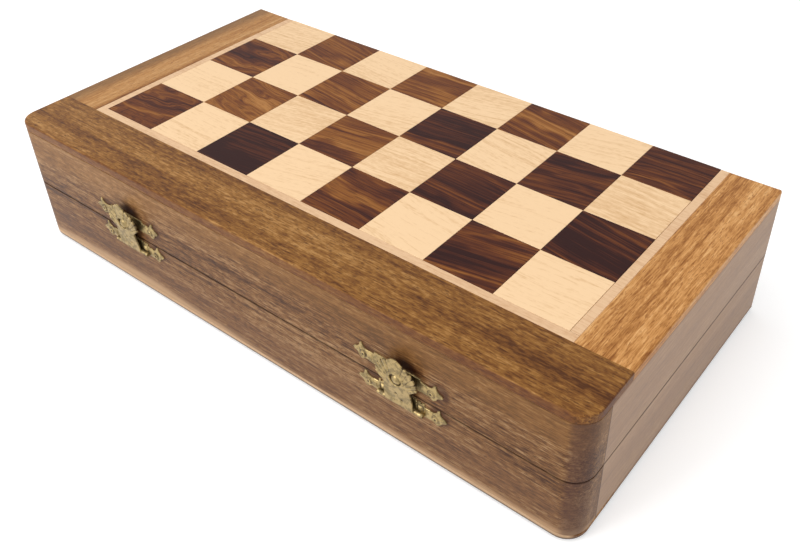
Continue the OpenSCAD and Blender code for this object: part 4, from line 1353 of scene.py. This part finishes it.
# %% Finish the boards and the hinges
for half in ("lid", "lower"):
    eased([f"{half}_front_wall", f"{half}_back_wall"], front_wood)
    eased([f"{half}_left_wall", f"{half}_right_wall"], side_wood)
    eased([f"{half}_front_rail"], rail_woods[half])
    eased([f"{half}_left_rail"], left_rail_wood)
    eased([f"{half}_right_rail"], right_rail_wood)
    eased([f"{half}_maple_strips"], strip_wood)
    dress(f"{half}_board_base", plywood)
    eased([f"{half}_hinge_leaves"], hinge_brass, rim=0.15 * MM, joint=0.12 * MM)
    dress(f"{half}_hinge_screws", hinge_brass)
dress("hinge_pins", hinge_brass)
print("case finished")

# %% [markdown]
# ## Felt
# Green felt lines both halves, and it covers the bars between the chessmen. Felt is pressed wool without a
# weave: it is soft at every edge, a little uneven, and its fibres catch light at a low angle, so the finish
# has sheen.

# %% Felt pieces
def felt_finish():
    finish = Finish("green_felt")
    fluff = finish.noise((1.1, 1.1, 1.1), detail=4, roughness=0.75)
    hair = finish.noise((0.35, 0.35, 0.35), detail=3, roughness=0.7, warp=1.5)
    patch = finish.noise((22, 22, 22), detail=2)
    tone = (fluff - 0.5) * 0.7 + (hair - 0.5) * 0.6 + (patch - 0.5) * 0.3 + 0.5
    colour = finish.ramp(tone, [(0.2, (14, 46, 30)), (0.5, (26, 76, 50)), (0.85, (52, 112, 78))])
    return finish.surface(Base_Color=colour, Roughness=0.95, Sheen_Weight=0.3, Sheen_Roughness=0.4,
                          Specular_IOR_Level=0.2, Normal=finish.bump(fluff * 0.6 + hair * 0.4, 0.35, 0.8))


felt = felt_finish()
generator = np.random.default_rng(11)
print(felt.name)

# %% The lining and the bars
sheet_cell, bar_cell = 2.5 * MM, 0.9 * MM


def fuzz(made, amount):
    """Moves every point a little in or out, so that no edge is quite straight."""
    mesh = made.data
    count = len(mesh.vertices)
    places, normals = np.empty(count * 3), np.empty(count * 3)
    mesh.vertices.foreach_get("co", places)
    mesh.vertices.foreach_get("normal", normals)
    moved = places.reshape(-1, 3) + normals.reshape(-1, 3) * generator.uniform(-amount, 0, (count, 1))
    mesh.vertices.foreach_set("co", moved.ravel())
    mesh.update()


def line_half(half):
    """The felt on the board base: one sheet, cut to the inside of the half."""
    node = f"{half}_felt_lining"
    low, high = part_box(node)
    counts = [math.ceil((high[k] - low[k]) / sheet_cell) for k in (0, 1)]
    shape = bmesh.new()
    bmesh.ops.create_grid(shape, x_segments=counts[0], y_segments=counts[1], size=0.5)
    thick = high.z - low.z
    for vertex in shape.verts:
        vertex.co.x = (low.x + high.x) / 2 + vertex.co.x * (high.x - low.x)
        vertex.co.y = (low.y + high.y) / 2 + vertex.co.y * (high.y - low.y)
        vertex.co.z = low.z + 0.05 * thick
    made = from_shape(f"{half}_felt_sheet", shape, felt)
    add_modifier(made, "SOLIDIFY", thickness=thick * 0.9, offset=1)
    apply_all(made)
    fuzz(made, 0.04 * MM)
    stand_in(made, node)


def cover_bars(half):
    """The wooden bars in their felt: the frame's bars with soft edges."""
    node = f"{half}_slot_bars"
    shape = joined_copy(node)
    bmesh.ops.triangulate(shape, faces=shape.faces)
    made = from_shape(f"{half}_felt_bars", shape, felt)
    add_modifier(made, "REMESH", mode="VOXEL", voxel_size=bar_cell)
    add_modifier(made, "SMOOTH", factor=0.5, iterations=2)
    apply_all(made)
    fuzz(made, 0.05 * MM)
    stand_in(made, node)
    print(made.name, len(made.data.polygons), "faces")


for half in ("lower", "lid"):
    line_half(half)
    cover_bars(half)

# %% [markdown]
# ## The chessmen
# The light men are boxwood and the dark ones rosewood, all turned on a lathe except for the knights. The
# turned men keep the frame's shapes, copied with eased edges. The knights are carved: each head is the
# outline of a horse whose two sides bulge out, with the jaw, the eye, the nostril and the locks of the mane
# cut into them.

# %% Finish the turned men
boxwood_tones = [(0.15, (190, 140, 78)), (0.45, (222, 176, 108)), (0.85, (240, 204, 142))]
rosewood_tones = [(0.15, (48, 24, 18)), (0.45, (84, 44, 28)), (0.85, (122, 70, 42))]
boxwood = wood("boxwood_men", "Y", boxwood_tones, ring=2.2, fibres=1, scale=0.4, pores=0.15, roughness=0.3)
rosewood_men = wood("rosewood_men", "Y", rosewood_tones, ring=2.2, fibres=1, scale=0.4, roughness=0.3)
men_wood = {"light": boxwood, "dark": rosewood_men}
men_edge = 0.12 * MM
turned_men = ("king", "queen", "bishops", "rooks", "pawns")
for colour, material in men_wood.items():
    for kind in turned_men:
        eased([f"{colour}_{kind}"], material, rim=men_edge, joint=men_edge)
print("five kinds of turned men in two colours")

# %% A horse's outline
# Points at x in millimetres and at a share of the head's height
foot_r, foot_h, head_base, knight_h = 10.0, 3.0, 4.8, 43.0
head_h = knight_h - head_base
back_line = [(-6.4, 0), (-7.2, 0.2), (-7.4, 0.42), (-6.6, 0.62), (-4.9, 0.78), (-2.9, 0.88), (-2.2, 1.0)]
face_line = [(-0.4, 0.91), (2, 0.86), (4.2, 0.78), (6.6, 0.66), (8.6, 0.56), (8.9, 0.49), (8.1, 0.44),
             (6.9, 0.45), (6.2, 0.43), (4.4, 0.47), (2.2, 0.46), (1.8, 0.4), (3.4, 0.3), (5.2, 0.18), (6, 0)]


def smooth_line(points, steps=5):
    """A curve through all the points of a line."""
    ends = [points[0]] + points + [points[-1]]
    curve = []
    for four in zip(ends, ends[1:], ends[2:], ends[3:]):
        for t in (k / steps for k in range(steps)):
            weights = (2 * t**2 - t - t**3, 2 - 5 * t**2 + 3 * t**3, t + 4 * t**2 - 3 * t**3, t**3 - t**2)
            curve.append(tuple(sum(w * at for w, at in zip(weights, axis)) / 2 for axis in zip(*four)))
    return curve + [points[-1]]


horse_back = smooth_line([(x, z * head_h) for x, z in back_line])
horse_face = smooth_line([(x, z * head_h) for x, z in face_line])
horse = horse_back + horse_face + [(6, -0.8), (-6.4, -0.8)]


def horse_outline(u, v):
    return outline(u, v, horse)


print("the horse has", len(horse), "points")

# %% Carve its sides
jaw_at, jaw_r = (2.1, 0.585 * head_h), 3.4
eye_at, socket_at = (2.5, 0.755 * head_h), (2.9, 0.725 * head_h)
nostril_at, ear_at = (7.6, 0.535 * head_h), (-1.9, 0.925 * head_h)
mouth_line = [(9.0, 0.475 * head_h), (5.6, 0.505 * head_h)]
bulge_in, mane_w, lock_pitch = 3.6, 3.9, 3.4


def horse_side(u, v, depth):
    """Half the thickness of the horse: a bulge with the features cut into it."""
    up = v / head_h
    snout, crest = rise(u, 2.5, 9.5) * rise(up, 0.3, 0.45), rise(-u, 4, 9)
    thick = 5.0 - 3.2 * rise(up, 0.55, 1.0) - 2.0 * snout - 1.0 * crest
    inward = np.clip(depth / bulge_in, 0, 1)
    side = thick * np.sqrt(np.maximum(1 - (1 - inward) ** 2, 0))
    from_back, along = chain(u, v, horse_back)
    locks = 0.35 + 0.45 * np.cos((along + from_back * 1.1) * math.tau / lock_pitch)
    side += (1 - rise(from_back, mane_w - 0.7, mane_w)) * locks * rise(depth, 0.1, 1.2) * rise(up, 0.02, 0.1)
    side -= ridge(from_back, mane_w, 0.35) * 0.35 * (1 - rise(up, 0.86, 0.93))
    jaw = disc(u, v, jaw_at, jaw_r)
    side += (1 - rise(jaw, -0.8, 0.3)) * 0.45 - ridge(jaw, 0.5, 0.4) * 0.25
    eye_ball = bump_at(u, v, eye_at, (1.0, 0.7)) * 0.75
    eye_socket = bump_at(u, v, socket_at, (1.9, 0.45)) * 0.4
    nostril = bump_at(u, v, nostril_at, (0.55, 0.4)) * 0.8
    mouth, _ = chain(u, v, mouth_line)
    ear = bump_at(u, v, ear_at, (0.45, 1.3)) * 0.5
    side += eye_ball - eye_socket - nostril - ridge(mouth, 0, 0.3) * 0.6 - ear
    return np.maximum(side, 0) * rise(depth, -0.01, 0.12)


def far_side(u, v, depth):
    return -horse_side(u, v, depth)


def bead(radius, low, thick, steps=8):
    """Points of a disc's rounded rim, from its underside up."""
    half = thick / 2
    turns = np.linspace(-math.pi / 2, math.pi / 2, steps)
    return [(radius - half + half * math.cos(a), low + half + half * math.sin(a)) for a in turns]


jaw_half_t = horse_side(*(np.array([x]) for x in jaw_at), np.array([bulge_in]))[0]
print("the jaw bulges", round(float(jaw_half_t), 2), "mm out of the middle")

# %% Lay the knights in their slots
felt_foot_t, end_gap, knight_half_t, cheek_drop, floor_gap = 0.8, 0.8, 5.0, 13, 0.05
knight_columns, knight_step = (1, 6), 0.26
case_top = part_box("lid_front_rail")[1].z / MM
inner_low, inner_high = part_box("lower_felt_lining")
slot_pitch = (inner_high.x - inner_low.x) / files / MM


def lying_angle(radius, cheek_h, cheek_t):
    """How far from level a man lies when its foot and its head touch the floor, in radians."""
    across, along = radius - foot_h / 2, cheek_h - foot_h / 2
    return math.acos((cheek_t - foot_h / 2) / math.hypot(across, along)) - math.atan2(along, across)


def laid_knight(column, in_lid):
    """The matrix that lays an upright knight in a slot."""
    angle = lying_angle(foot_r, knight_h - cheek_drop, knight_half_t)
    lift = (foot_r - foot_h / 2) * math.cos(angle) + foot_h / 2 * (1 + math.sin(angle)) + floor_gap
    heel = foot_r * math.sin(angle) + felt_foot_t + end_gap
    x = inner_low.x / MM + (column + 0.5) * slot_pitch
    at = Vector((x, inner_high.y / MM - heel, inner_high.z / MM + lift))
    laid = Matrix.Translation(at) @ Matrix.Rotation(math.pi / 2 + angle, 4, "X")
    flip = Matrix.Translation((0, 0, case_top)) @ Matrix.Diagonal((1, 1, -1, 1)) if in_lid else Matrix()
    return flip @ laid


def on_knight(laid):
    """Places u, v and height on the middle plane of a knight."""
    def place(u, v, height):
        points = np.stack([u.ravel(), -height.ravel(), v.ravel() + head_base, np.ones(u.size)])
        return [axis.reshape(u.shape) for axis in (np.array(laid) @ points)[:3]]
    return place


def carve_knights(colour):
    shape = bmesh.new()
    foot = bead(foot_r, 0, foot_h) + bead(foot_r - 1.8, foot_h, 1.8) + bead(foot_r - 2.8, head_base, 1.4)
    low, high = (-8, -1), (9.3, head_h + 0.4)
    for column in knight_columns:
        laid = laid_knight(column, colour == "dark")
        skin(shape, horse_outline, horse_side, far_side, low, high, knight_step, on_knight(laid))
        turned(shape, foot, lambda x, y, z: laid @ Vector((x, y, z)))
    made = from_shape(f"{colour}_carved_knights", shape, men_wood[colour], crease=math.radians(60))
    stand_in(made, f"{colour}_knights")
    print(made.name, len(made.data.polygons), "faces")


for colour in men_wood:
    carve_knights(colour)

# %% Felt under the men
felt_strip_w = 20 * MM


def felt_feet(colour):
    """Sixteen discs, cut from a strip of felt just wide enough for the king's, and glued under the men."""
    node = f"{colour}_chessman_felts"
    shape = joined_copy(node)
    discs = [face for face in shape.faces if len(face.verts) > 8]
    area = sum(face.calc_area() for face in discs) / 2
    made = from_shape(f"{colour}_felt_feet", shape, felt)
    fuzz(made, 0.03 * MM)
    stand_in(made, node)
    strip = (felt_strip_w, felt_strip_w * len(discs) / 2)
    print(made.name, len(discs) / 2, "discs,", round(area / MM**2), "square millimetres from", strip)


for colour in men_wood:
    felt_feet(colour)
